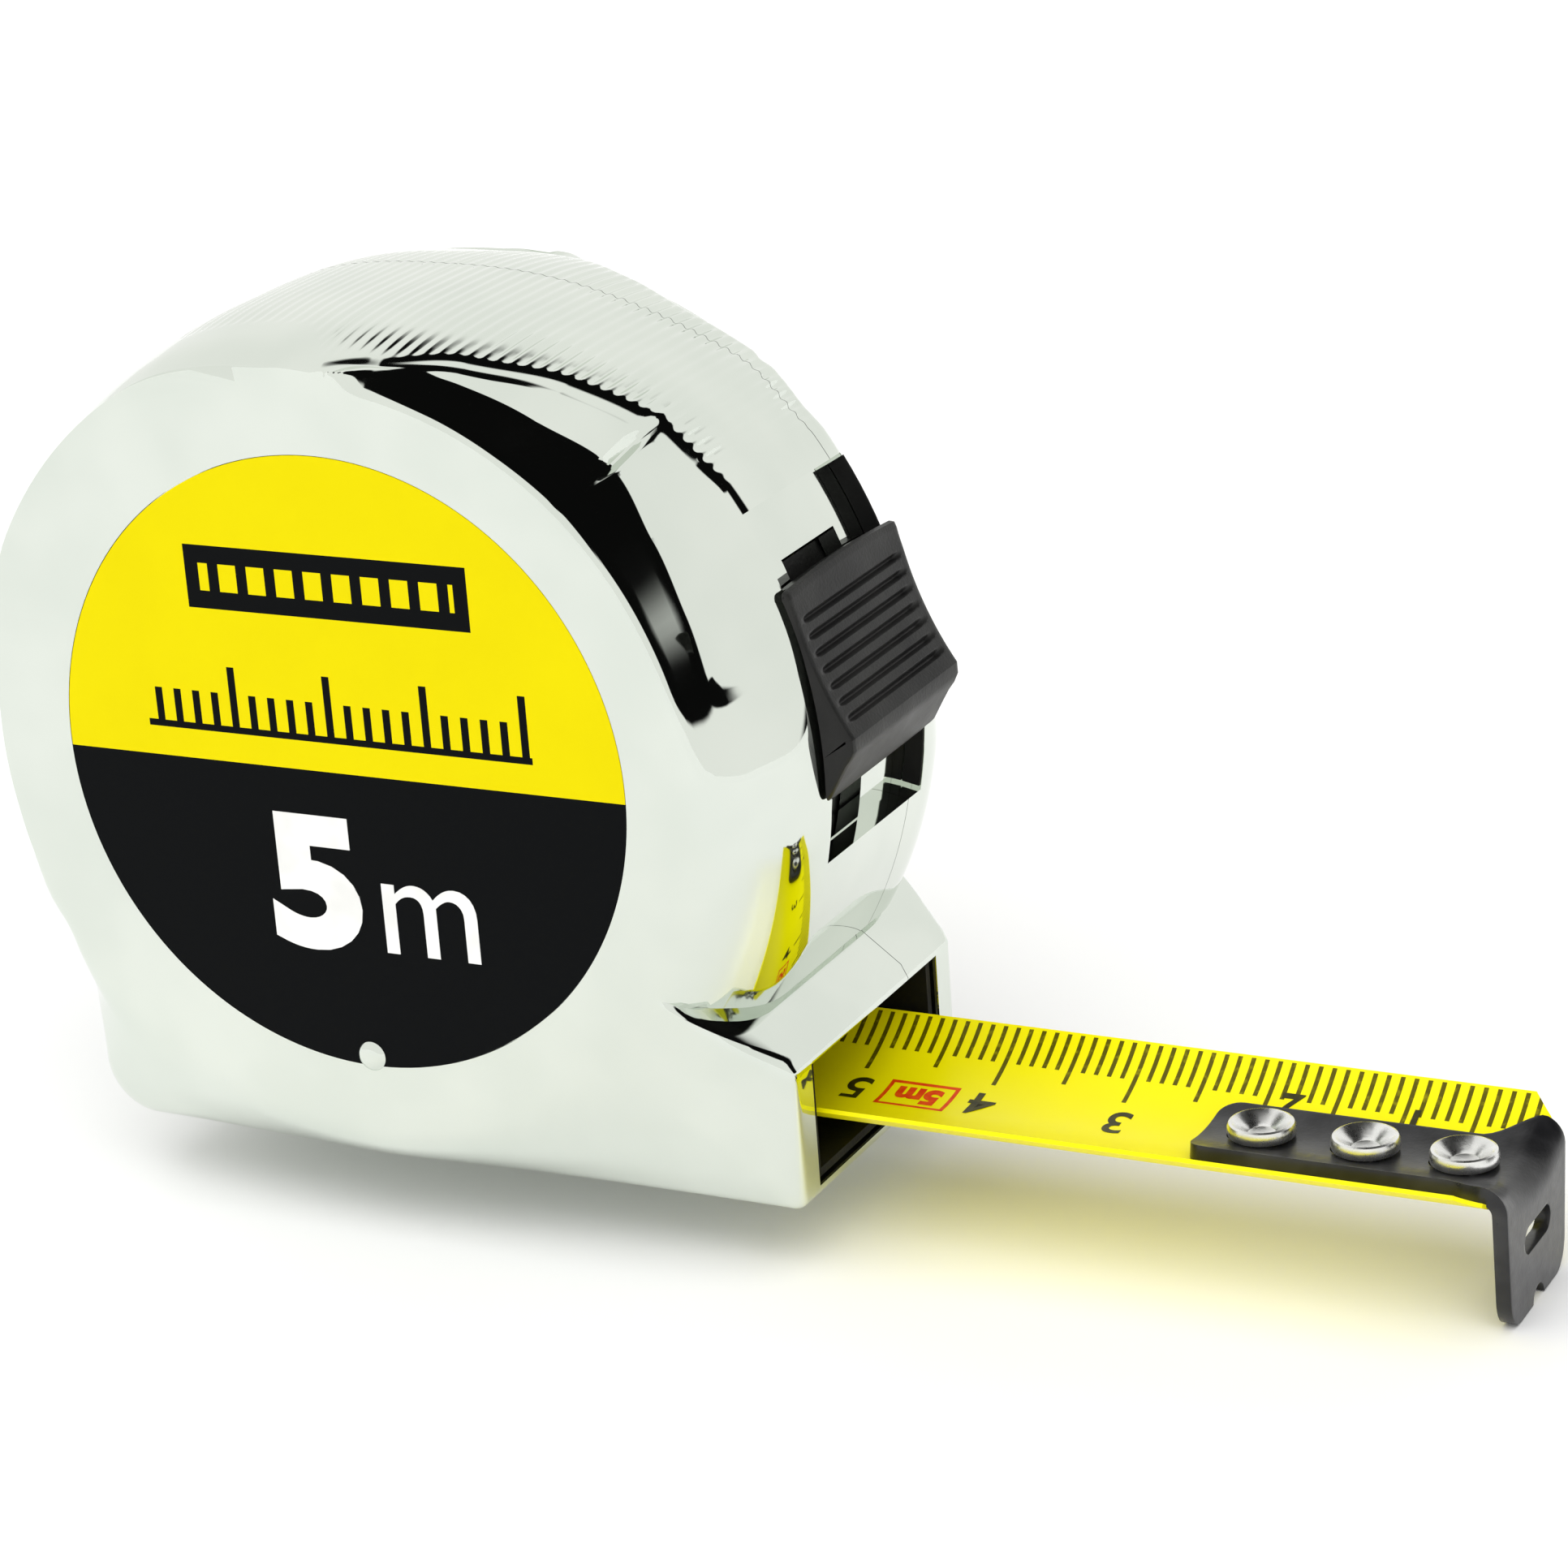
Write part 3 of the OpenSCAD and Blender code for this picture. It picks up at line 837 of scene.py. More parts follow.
@dataclass
class Case:
    """The chromed case: one lofted skin with scoops, ribs and openings, parted into two shells."""

    half_w: float = 16.5
    rim_r: float = 27.5
    label_r: float = 22.45
    label_t: float = 0.4
    rear_r: float = 30.3
    rear_swell: float = 1.4
    crown_r: float = 47.0
    front_r: float = 33.4
    corner_angle: float = 47.0
    base_z: float = -31.0
    heel_x: float = -26.0
    heel_r: float = 4.0
    nose_x: float = 31.7
    nose_top: float = -20.1
    valley: Point2 = (27.5, -16.9)
    parting_y: float = 5.5
    seam: float = 0.03
    ribs_start: Point2 = (-34, -22)
    crown_start: Point2 = (-118, -100)
    top_end: Point2 = (50, 55)
    chin_r: float = 0.8
    cavity_r: float = 26.0
    cavity_half_w: float = 13.4
    chamber: Ring = (0.5, 30.4, -70, 40)
    chamber_half_w: float = 7.0
    blade_way_x: Point2 = (-23.5, 26.5)
    blade_way_z: Point2 = (-29.2, -21.6)
    blade_way_half_w: float = 9.6
    mouth_x: Point2 = (26.3, 34.0)
    mouth_z: Point2 = (1.2, 9.9)
    mouth_half_w: float = 9.8
    mouth_flare: Point2 = (1.06, 0.35)
    channel: Ring = (31.9, 37.0, -12, 32.0)
    channel_half_w: float = 7.5
    stem_slot: Ring = (29.0, 34.0, 1, 24.8)
    stem_slot_half_w: float = 4.0
    window: Ring = (29.0, 34.0, -11.8, 2)
    window_y: Point2 = (-4.3, 0.3)
    # A thin black sheet laid over the channel's far wall, from floor to rim: painted shade on the chrome.
    shade_sheet: Ring = (31.95, 33.3, -11.5, 31.6)
    shade_sheet_y: Point2 = (7.36, 7.52)
    screw_ring_r: float = 25.3
    screw_angles: tuple[float, ...] = (62, 140, 208, -25)
    pocket: tuple[Point2, ...] = (
        (0.0, 14.6), (2.05, 14.6), (2.05, 16.3), (2.4, 16.7), (2.4, 18.0), (0.0, 18.0),
    )
    pip: tuple[Point2, ...] = ((0.0, 0.0), (1.1, 0.0), (1.1, 0.12), (0.95, 0.3), (0.6, 0.42), (0.0, 0.46))
    pip_place: Point2 = (0.1, -21.7)
    rib_pitch: float = 0.95
    rib_depth: float = 0.24
    crowning: float = 0.25
    sections: tuple[Section, ...] = (
        Section(-6, 0.9, 3.0, 1.0, 13.2, 1.0, 10.5, 1.0),
        Section(2, 0.85, 2.6, 0.98, 15.0, 0.4, 14.6, 0.6),
        Section(10, 0.0, 0.5, 0.55, 14.5, 0.3, 13.9, 0.6),
        Section(20, 0.0, 0.5, 0.36, 12.6, 0.3, 11.4, 0.7),
        Section(32, 0.0, 0.5, 0.22, 11.2, 0.3, 9.0, 0.8),
        Section(41.6, 0.0, 0.5, 0.34, 11.0, 0.3, 8.2, 0.8),
        Section(43.2, 0.0, 0.5, 0.30, 10.4, 0.3, 7.5, 0.6),
        Section(44.8, 0.0, 0.5, 0.38, 11.0, 0.3, 8.0, 0.8),
        Section(54, 0.0, 0.5, 0.16, 11.0, 0.4, 7.6, 1.0),
        Section(65, 0.0, 0.6, 0.10, 11.7, 0.5, 7.6, 1.2),
        Section(74, 0.0, 0.6, 0.12, 12.4, 0.6, 7.7, 1.2),
        Section(79, 0.0, 0.8, 0.26, 13.6, 1.0, 7.9, 1.4),
        Section(87, 0.05, 1.6, 0.42, 14.4, 2.4, 8.8, 2.0),
        Section(98, 0.10, 3.0, 0.52, 14.9, 2.6, 10.3, 3.0),
        Section(120.8, 0.10, 3.0, 0.52, 14.9, 2.6, 10.3, 3.0),
        Section(121.6, 0.10, 3.0, 0.52, 14.9, 2.6, 10.4, 2.6),
        Section(122.4, 0.10, 3.0, 0.55, 15.0, 3.0, 12.6, 0.5),
        Section(140, 0.10, 3.0, 0.55, 15.0, 3.0, 12.8, 1.0),
        Section(180, 0.30, 2.0, 0.70, 15.2, 2.0, 13.0, 1.6),
        Section(220, 0.15, 3.0, 0.55, 15.0, 3.0, 13.0, 2.0),
        Section(245, 0.75, 3.0, 0.90, 13.6, 1.0, 12.0, 1.0),
        Section(256, 0.85, 3.0, 1.0, 13.2, 1.0, 10.5, 1.0),
        Section(354, 0.9, 3.0, 1.0, 13.2, 1.0, 10.5, 1.0),
    )

    def outline(self) -> list[Point2]:
        """Runs round the case's outline, forward from the top and back under the base.

        Returns:
            The outline's points, the last of them the first again.
        """
        crown = (0.0, self.rear_r - self.crown_r)
        corner = polar(self.front_r, self.corner_angle)
        top_turn = math.degrees(math.atan2(corner[1] - crown[1], corner[0] - crown[0]))
        blend = 1.6
        crown_line = arc(crown, self.crown_r, 90, top_turn + blend, 196)
        before = tuple(Vector(crown) + Vector(polar(self.crown_r, top_turn + blend)))
        after = polar(self.front_r, self.corner_angle - 1.4 * blend)
        band_end = polar(self.front_r, -30.4)
        nose_tip = (self.nose_x, self.nose_top)
        tip_back = tuple(Vector(nose_tip).lerp(Vector(self.valley), 0.12))
        chin = (self.nose_x, self.base_z + self.chin_r)
        heel_low = (self.heel_x + self.heel_r, self.base_z)
        heel_high = (self.heel_x, self.base_z + self.heel_r)
        line = crown_line + bent(before, corner, after, 12)
        line += arc((0, 0), self.front_r, self.corner_angle - 1.4 * blend, 34, 70)
        line += arc((0, 0), self.front_r, 34, -30.4, 44)
        line += straight(band_end, self.valley, 6) + straight(self.valley, tip_back, 10)
        line += straight(tip_back, (self.nose_x, self.nose_top - 0.6), 3)
        line += straight((self.nose_x, self.nose_top - 0.6), chin, 12)
        line += arc((self.nose_x - self.chin_r, chin[1]), self.chin_r, 0, -90, 5)
        line += straight((self.nose_x - self.chin_r, self.base_z), heel_low, 44)
        line += arc((heel_low[0], heel_high[1]), self.heel_r, -90, -180, 12)
        line += straight(heel_high, (self.heel_x, -17.5), 10)
        line += bent((self.heel_x, -17.5), (-25.9, -15.6), polar(self.rear_r, 208), 8)
        back = [208 - 86 * k / 40 for k in range(40)] + [122 - 32 * k / 130 for k in range(130)]
        line += [polar(self.rear_r + self.rear_swell * smooth(90, 118, a) * smooth(178, 150, a), a)
                 for a in back]
        return line + [line[0]]

    def blended(self, turn: float) -> list[float]:
        """Blends the sections at a turn.

        Args:
            turn: Degrees forward from the top, below 354.

        Returns:
            The section's numbers, in the order of Section.values.
        """
        keys = self.sections
        i = max(k for k in range(len(keys) - 1) if keys[k].turn <= turn or k == 0)
        first, last = keys[i], keys[i + 1]
        share = (turn - first.turn) / (last.turn - first.turn)
        share = share * share * (3 - 2 * share) * 0.5 + share * 0.5
        return [a + (b - a) * share for a, b in zip(first.values(), last.values())]

    def profile(self, reach: float, turn: float) -> list[Point2]:
        """Runs from the middle of a side face to the middle of the outline.

        Args:
            reach: The outline's distance from the axis.
            turn: Degrees forward from the top.

        Returns:
            Radius and half-width of each point.
        """
        corner, corner_round, crease, crease_y, crease_round, edge_y, edge_round = self.blended(turn)
        run = reach - self.rim_r
        points = [
            (self.label_r, self.half_w),
            (self.rim_r + corner * run, self.half_w),
            (self.rim_r + crease * run, crease_y),
            (reach, edge_y),
            (reach, 0.0),
        ]
        line = rounded(points, (corner_round, crease_round, edge_round), (3, 5, 6, 12), 6)
        floor_y = self.half_w - self.label_t
        return [(0.0, floor_y), (self.label_r, floor_y)] + line

    def skin(self) -> Workpiece:
        """Lofts the closed outer skin of the whole case.

        Returns:
            The skin.
        """
        outline = self.outline()
        along = [0.0]
        for a, b in zip(outline, outline[1:]):
            along.append(along[-1] + (Vector(b) - Vector(a)).length)
        columns = []
        for (x, z), run in zip(outline, along):
            reach = math.hypot(x, z)
            turn = (90 - math.degrees(math.atan2(z, x))) % 360
            turn = turn - 360 if turn > 354 else turn
            forward = turn if turn < 180 else turn - 360
            before_pad = 1 - smooth(*self.top_end, forward)
            ribbed = smooth(*self.ribs_start, forward) * before_pad
            swollen = smooth(*self.crown_start, forward) * before_pad
            wave = 0.5 - 0.5 * math.cos(2 * math.pi * run / self.rib_pitch)
            edge = self.blended(turn)[5]
            column = []
            for rho, y in self.profile(reach, turn):
                on_top = 1 - smooth(0.0, 2.0, reach - rho)
                depth = 0.3 + 0.7 * smooth(2.5, 6.5, y) * smooth(10, 32, forward)
                rib = wave * (1 - smooth(edge - 1.4, edge - 0.2, y)) * depth
                crowned = self.crowning * swollen * (1 + 0.8 * smooth(15, 35, forward)) * (y / 8) ** 3
                rho -= on_top * (self.rib_depth * ribbed * rib + crowned)
                column.append(Vector((x * rho / reach, y, z * rho / reach)))
            columns.append(column)
        columns[-1] = columns[0]
        half = len(columns[0]) - 1

        def place(i: int, j: int) -> Vector:
            """Places the grid point of a station and a row.

            Args:
                i: The station along the outline.
                j: The row from the middle of the left face to the middle of the right one.

            Returns:
                Where the grid point goes.
            """
            point = columns[i][j if j <= half else 2 * half - j].copy()
            point.y = -point.y if j <= half else point.y
            return point

        return Workpiece.sheet(len(columns) - 1, 2 * half, place).welded().oriented()

    def mouth(self) -> Workpiece:
        """Makes the shape of the mouth, which opens out a little at the front.

        Returns:
            The closed shape to cut out.
        """
        low, high = (self.base_z + z for z in self.mouth_z)
        half = self.mouth_half_w
        outline = [(-half, low), (half, low), (half, high), (-half, high)]
        made = Workpiece.prism(outline, *self.mouth_x, AXIS_X)
        wider, taller = self.mouth_flare
        for vert in made.bm.verts:
            if vert.co.x > self.nose_x:
                vert.co.y *= wider
                vert.co.z += taller if vert.co.z > (low + high) / 2 else -taller
        return made

    def hollow(self) -> list[Workpiece]:
        """Makes the shapes that are cut out of the case.

        Returns:
            The reel's cavity, the lever's chamber, the blade's way, the mouth, then the thumb lock's channel
            with the slot and the window in its floor.
        """
        rear, front = self.blade_way_x
        low, high = self.blade_way_z
        blade_way = [(rear, low), (front, low), (front, high), (rear, high)]
        round_hole = arc((0, 0), self.cavity_r, 0, 360, 96)
        return [
            Workpiece.prism(round_hole, -self.cavity_half_w, self.cavity_half_w),
            Workpiece.prism(sector(*self.chamber), -self.chamber_half_w, self.chamber_half_w),
            Workpiece.prism(blade_way, -self.blade_way_half_w, self.blade_way_half_w),
            self.mouth(),
            Workpiece.prism(sector(*self.channel), -self.channel_half_w, self.channel_half_w),
            Workpiece.prism(sector(*self.stem_slot), -self.stem_slot_half_w, self.stem_slot_half_w),
            Workpiece.prism(sector(*self.window), *self.window_y),
        ]

    def build(self) -> None:
        """Builds both shells, a thin black sheet on the channel's far wall as painted shade, and the pip
        under the near label.
        """
        whole = self.skin().carved(self.hollow())
        far = 60.0
        square = [(-far, -far), (far, -far), (far, far), (-far, far)]
        for side, node in ((Side.LEFT, "left_shell"), (Side.RIGHT, "right_shell")):
            inner, outer = self.parting_y + side.value * self.seam, side.value * far
            shell = whole.carved([Workpiece.prism(square, min(inner, outer), max(inner, outer))], "INTERSECT")
            if side is Side.RIGHT:
                shell = shell.carved(self.pockets())
            shell.finished("case_" + side.name.lower(), "case", CHROME, (node,))
        # Painted shade: a thin black sheet over the channel's chrome far wall, so that the wall reads dark.
        shade_sheet = Workpiece.prism(sector(*self.shade_sheet), *self.shade_sheet_y)
        shade_sheet.finished("channel_wall_shade_sheet", "case", LINER)
        x, z = self.pip_place
        pip = Workpiece.lathe(self.pip, (x, -self.half_w + 0.05, z), -AXIS_Y, 32)
        pip.finished("label_pip", "case", CHROME)

    def pockets(self) -> list[Workpiece]:
        """Makes the pockets that the screw heads sit in.

        Returns:
            The closed shapes to cut out.
        """
        centres = [polar(self.screw_ring_r, angle) for angle in self.screw_angles]
        return [Workpiece.lathe(self.pocket, (x, 0, z), AXIS_Y) for x, z in centres]


@dataclass(frozen=True)
class Figure:
    """One raised figure of a label: its text, size, stroke and place."""

    name: str
    text: str
    height: float
    weight: float
    stretch: float
    x: float
    z: float


@dataclass
class Labels:
    """The raised figures on the near label."""

    face_y: float = -16.5
    raised: float = 0.06
    sunk: float = 0.02
    figures: tuple[Figure, ...] = (
        Figure("length_figure", "5", 10.2, 0.045, 1.18, -3.1, -8.9),
        Figure("length_unit", "m", 5.3, 0.0, 1.0, 6.1, -10.9),
    )

    def build(self) -> None:
        """Sets the figures."""
        for figure in self.figures:
            made = lettering(figure.text, figure.height, figure.weight, self.raised)
            bmesh.ops.scale(made.bm, verts=made.bm.verts, vec=(figure.stretch, 1, 1))
            place = Matrix.Translation((figure.x, self.face_y + self.sunk, figure.z))
            upright = Matrix.Rotation(math.pi / 2, 4, "X")
            bmesh.ops.transform(made.bm, matrix=place @ upright, verts=made.bm.verts)
            made.finished(figure.name, "case", WHITE_INK)


# ------------------------------------------------------------- blade and hook


@dataclass
class Blade:
    """The drawn-out blade with its figures."""

    curve_r: float = 14.2
    curve_z: float = -13.8
    thickness: float = 0.3
    half_angle: float = 38.3
    start_x: float = 23.5
    end_x: float = 78.8
    tip_cut: float = 1.5
    ink_t: float = 0.02
    ink_lift: float = 0.015
    length_mark: Point2 = (34.0, 1.1)
    marks: tuple[tuple[str, float, float, float], ...] = (
        ("1", 69.6, 5.1, 2.6),
        ("2", 60.6, 5.1, 2.6),
        ("3", 49.3, 1.1, 3.0),
        ("4", 38.9, 1.1, 3.0),
        ("5", 29.2, 1.1, 3.0),
    )
    frame_bars: tuple[tuple[float, float, float, float], ...] = (
        (31.3, 36.7, -0.65, -0.35),
        (31.3, 36.7, 2.55, 2.85),
        (31.3, 31.6, -0.65, 2.85),
        (36.4, 36.7, -0.65, 2.85),
    )

    def surface(self, y: float) -> float:
        """Gives the height of the blade's hollow face at a distance from its middle."""
        inner = self.curve_r - self.thickness / 2
        return self.curve_z - math.sqrt(inner * inner - y * y)

    def build(self) -> None:
        """Builds the blade and its printed figures."""
        inner = self.curve_r - self.thickness / 2
        half_chord = inner * math.sin(math.radians(self.half_angle))
        stops = [self.start_x + (self.end_x - 2 - self.start_x) * k / 40 for k in range(41)]
        stops += [self.end_x - 2 + 0.25 * k for k in range(1, 9)]

        def place(i: int, j: int) -> Vector:
            """Places the grid point of a stop along the blade and a step across it.

            Args:
                i: The stop along the blade.
                j: The step across it.

            Returns:
                Where the grid point goes.
            """
            x = stops[i]
            half = half_chord - max(0.0, x - self.end_x + self.tip_cut)
            turn = (j / 32 - 0.5) * 2 * math.asin(half / inner)
            return Vector((x, inner * math.sin(turn), self.curve_z - inner * math.cos(turn)))

        strip = Workpiece.sheet(len(stops) - 1, 32, place).facing(AXIS_Z)
        strip.thickened(self.thickness).finished("blade_drawn_out", "blade", BLADE, ("blade_strip",))
        self.figures()

    def figures(self) -> None:
        """Sets the centimetre figures and the boxed length mark."""
        dark = Workpiece()
        for text, x, y, height in self.marks:
            dark.joined([self.laid(lettering(text, height, 0.012, self.ink_t), x, y)])
        dark.finished("scale_figures", "blade", SCALE_INK)
        mark = self.laid(lettering("5m", 2.2, 0.05, self.ink_t), *self.length_mark)
        for x0, x1, y0, y1 in self.frame_bars:
            bar = Workpiece.sheet(
                4, 4, lambda i, j: Vector((x0 + (x1 - x0) * i / 4, y0 + (y1 - y0) * j / 4, 0))
            )
            bmesh.ops.solidify(bar.bm, geom=bar.bm.faces, thickness=self.ink_t)
            mark.joined([self.laid(bar.oriented(), 0.0, 0.0, False)])
        mark.finished("length_mark", "blade", RED_INK)

    def laid(self, figure: Workpiece, x: float, y: float, turned: bool = True) -> Workpiece:
        """Lays flat figures on the blade's hollow face.

        Args:
            figure: The flat figures.
            x: Where their middle goes along the blade.
            y: Where it goes across the blade.
            turned: Whether the figures read from the far side.

        Returns:
            The figures in place.
        """
        turn = Matrix.Rotation(math.pi if turned else 0.0, 4, "Z")
        bmesh.ops.transform(figure.bm, matrix=Matrix.Translation((x, y, 0)) @ turn, verts=figure.bm.verts)
        for vert in figure.bm.verts:
            vert.co.z += self.surface(vert.co.y) + self.ink_lift
        return figure


@dataclass
class Hook:
    """The end hook, bent from black sheet, and its tubular rivets."""

    top_r: float = 12.95
    curve_z: float = -13.8
    tab_x: float = 56.4
    tab_half_w: float = 3.8
    tab_corner: float = 1.5
    half_w: float = 6.15
    taper: float = 0.6
    front_x: float = 80.1
    bend_r: float = 1.9
    low_z: float = -35.9
    low_corner: float = 1.8
    flare: Point2 = (74.9, 79.0)
    thickness: float = 1.05
    play: float = 1.2
    nail_z: float = -30.8
    nail_half: Point2 = (2.7, 1.0)
    notch_r: float = 1.15
    rivets: tuple[float, ...] = (75.1, 68.1, 60.6)
    slot_r: float = 1.3
    shank_r: float = 1.15
    shank_z: Point2 = (-28.2, -26.4)
    head: tuple[Point2, ...] = (
        (0.0, 3.3), (0.85, 3.35), (0.95, 3.6), (0.98, 4.62), (1.12, 4.78), (1.62, 5.14), (1.9, 5.38),
        (2.08, 5.47), (2.26, 5.4), (2.38, 5.15), (2.4, 4.8), (2.34, 4.55), (2.1, 4.47),
    )
    foot: tuple[Point2, ...] = (
        (0.0, 2.85), (1.95, 2.85), (2.0, 2.75), (1.85, 2.5), (1.4, 2.36), (0.9, 2.4), (0.8, 2.6), (0.0, 2.65),
    )

    def top(self, y: float) -> float:
        """Gives the height of the tab's upper face at a distance from its middle."""
        return self.curve_z - math.sqrt(self.top_r * self.top_r - y * y)

    def half_width(self, x: float, drop: float) -> float:
        """Gives half of the sheet's width.

        Args:
            x: The distance along the tab.
            drop: The distance down the plate.

        Returns:
            Half of the width there.
        """
        if drop > 0:
            length = self.top(0) - self.bend_r - self.low_z
            return self.half_w - self.taper * drop / length - inset(self.low_corner, length - drop)
        width = self.tab_half_w + (self.half_w - self.tab_half_w) * smooth(*self.flare, x)
        return width - inset(self.tab_corner, x - self.tab_x)

    def build(self) -> None:
        """Builds the hook and its rivets."""
        bend_x = self.front_x - self.bend_r
        corner_x = self.tab_x + self.tab_corner
        tab = [self.tab_x + self.tab_corner * (1 - math.cos(math.pi / 2 * k / 8)) for k in range(8)]
        tab += [corner_x + (bend_x - corner_x) * k / 40 for k in range(41)]
        bend = [math.pi / 2 * k / 8 for k in range(1, 9)]
        plate = [k / 20 for k in range(1, 15)]
        plate += [1 - 0.3 * (1 - math.sin(math.pi / 2 * k / 10)) for k in range(1, 11)]
        rows = len(tab) + len(bend) + len(plate)

        def place(i: int, j: int) -> Vector:
            """Places the grid point of a row along the sheet and a step across it.

            Args:
                i: The row along the sheet.
                j: The step across it.

            Returns:
                Where the grid point goes.
            """
            across = j / 40 * 2 - 1
            if i < len(tab):
                y = across * self.half_width(tab[i], 0)
                return Vector((tab[i], y, self.top(y)))
            if i < len(tab) + len(bend):
                turn = bend[i - len(tab)]
                x = bend_x + self.bend_r * math.sin(turn)
                y = across * self.half_width(x, 0)
                return Vector((x, y, self.top(y) - self.bend_r * (1 - math.cos(turn))))
            share = plate[i - len(tab) - len(bend)]
            y = across * self.half_width(0, share * (self.top(0) - self.bend_r - self.low_z))
            high = self.top(y) - self.bend_r
            return Vector((self.front_x, y, high + (self.low_z - high) * share))

        sheet = Workpiece.sheet(rows - 1, 40, place).facing(AXIS_Z)
        sheet.thickened(self.thickness)
        sheet = sheet.carved(self.openings()).softened(0.16, 50)
        sheet.finished("end_hook", "hook", BLACK_STEEL, ("hook",))
        self.fix()

    def openings(self) -> list[Workpiece]:
        """Makes the nail slot, the notch and the slots that the rivets slide in.

        Returns:
            The closed shapes to cut out.
        """
        long, high = self.nail_half
        nail = arc((long - high, self.nail_z), high, -90, 90, 14)
        nail += arc((high - long, self.nail_z), high, 90, 270, 14)
        notch = arc((0, self.low_z - 0.1), self.notch_r, 0, 360, 32)
        made = [Workpiece.prism(hole, 78, 84, AXIS_X) for hole in (nail, notch)]
        for x in self.rivets:
            slot = arc((x, 0), self.slot_r, -90, 90, 14) + arc((x - self.play, 0), self.slot_r, 90, 270, 14)
            made.append(Workpiece.prism(slot, -30, -24, AXIS_Z))
        return made

    def fix(self) -> None:
        """Builds the rivets, each a dished head over a short tube."""
        made = Workpiece()
        for x in self.rivets:
            for profile in (self.head, self.foot):
                turned = Workpiece.lathe(profile, (x, 0, -Workpiece.axis_z), AXIS_Z)
                made.joined([turned.capped()])
            made.joined([Workpiece.prism(arc((x, 0), self.shank_r, 0, 360, 24), *self.shank_z, AXIS_Z)])
        made.finished("tube_rivets", "blade", NICKEL, ("hook_rivets",))


# ------------------------------------------------------------------ thumb lock


@dataclass
class ThumbLock:
    """The sliding thumb lock: a saddle-shaped pad with cross grooves."""

    half_w: float = 8.7
    grooves: int = 7
    groove_depth: float = 0.42
    nose: Point2 = (35.75, 2.6)
    crest: Point2 = (31.73, 12.5)
    dip: Point2 = (1.0, 0.5)
    lip: tuple[Point2, ...] = (
        (33.2, -2.3), (33.75, -1.75), (34.5, -0.4), (35.05, 0.55), (35.5, 1.15), (35.78, 1.75),
    )
    top: tuple[Point2, ...] = ((31.55, 12.9), (31.2, 12.95))
    foot_r: float = 32.3
    foot_angles: Point2 = (22.2, -4.1)
    side_rows: tuple[Point2, ...] = ((-8.7, 0.5), (-8.62, 0.24), (-8.45, 0.07), (-8.2, 0.0))
    flat_half_w: float = 8.0
    grooved: Point2 = (0.06, 0.80)
    top_crown: float = 0.35
    saddle: Ring = (20, 33.55, -30, 40)
    saddle_y: Point2 = (7.3, 9.2)
    stem: Ring = (28.6, 32.6, 3.2, 14.8)
    stem_half_w: float = 3.7
    arm: Ring = (28.3, 30.2, -30, 24)
    arm_half_w: float = 6.4

    def outline(self) -> list[Point3]:
        """Runs round the pad's side view.

        Returns:
            x, z and, on the thumb face, how far along it the point lies from 0 to 1, or -1 elsewhere.
        """
        sag = (Vector(self.nose) + Vector(self.crest)) / 2 - Vector(self.dip)
        points = bent(self.nose, sag, self.crest, 140) + [self.crest]
        face = [(x, z, k / 140) for k, (x, z) in enumerate(points)]
        lip = [(x, z, -1.0) for x, z in self.lip]
        top = [(x, z, -1.0) for x, z in self.top]
        under = [(x, z, -1.0) for x, z in arc((0, 0), self.foot_r, *self.foot_angles, 24)]
        return lip + face + top + under

    def build(self) -> None:
        """Builds the pad with the stem that passes through the case."""
        outline = self.outline()
        count = len(outline)
        rows = list(self.side_rows) + [(self.flat_half_w * (k / 20 - 1), 0.0) for k in range(41)]
        rows += [(-y, depth) for y, depth in reversed(self.side_rows)]

        def inward(i: int) -> Vector:
            """Gives the direction into the outline at one of its points.

            Args:
                i: Which point.

            Returns:
                The unit direction in x and z.
            """
            a, b = outline[i - 1], outline[(i + 1) % count]
            run = Vector((b[0] - a[0], b[1] - a[1])).normalized()
            return Vector((-run.y, run.x))

        def place(i: int, j: int) -> Vector:
            """Places the grid point of an outline point and a row across the pad.

            Args:
                i: The outline point.
                j: The row.

            Returns:
                Where the grid point goes.
            """
            i %= count
            x, z, share = outline[i]
            y, depth = rows[j]
            if share >= 0:
                phase = (share - self.grooved[0]) / self.grooved[1] * self.grooves
                if 0 <= phase <= self.grooves:
                    cut = smooth(0.30, 0.46, phase % 1) * (1 - smooth(0.54, 0.86, phase % 1))
                    depth += self.groove_depth * cut * (1 - smooth(6.9, 7.5, abs(y)))
            crown = self.top_crown * (y / self.half_w) ** 2 if share > 0.8 or share < 0 and z > 12 else 0.0
            point = Vector((x, z)) + inward(i) * depth
            return Vector((point.x, y, point.y - crown * smooth(0.8, 1.0, share if share >= 0 else 1.0)))

        near, far = self.saddle_y
        saddles = [Workpiece.prism(sector(*self.saddle), *ys) for ys in ((-far, -near), (near, far))]
        stem = Workpiece.prism(sector(*self.stem), -self.stem_half_w, self.stem_half_w)
        arm = Workpiece.prism(sector(*self.arm), -self.arm_half_w, self.arm_half_w)
        pad = Workpiece.sheet(count, len(rows) - 1, place).welded(1e-4).capped()
        pad = pad.carved(saddles).joined([stem, arm])
        pad.finished("thumb_pad", "lever", GRIP, ("thumb_lever",), 28.0)


# ------------------------------------------------------------------- belt clip


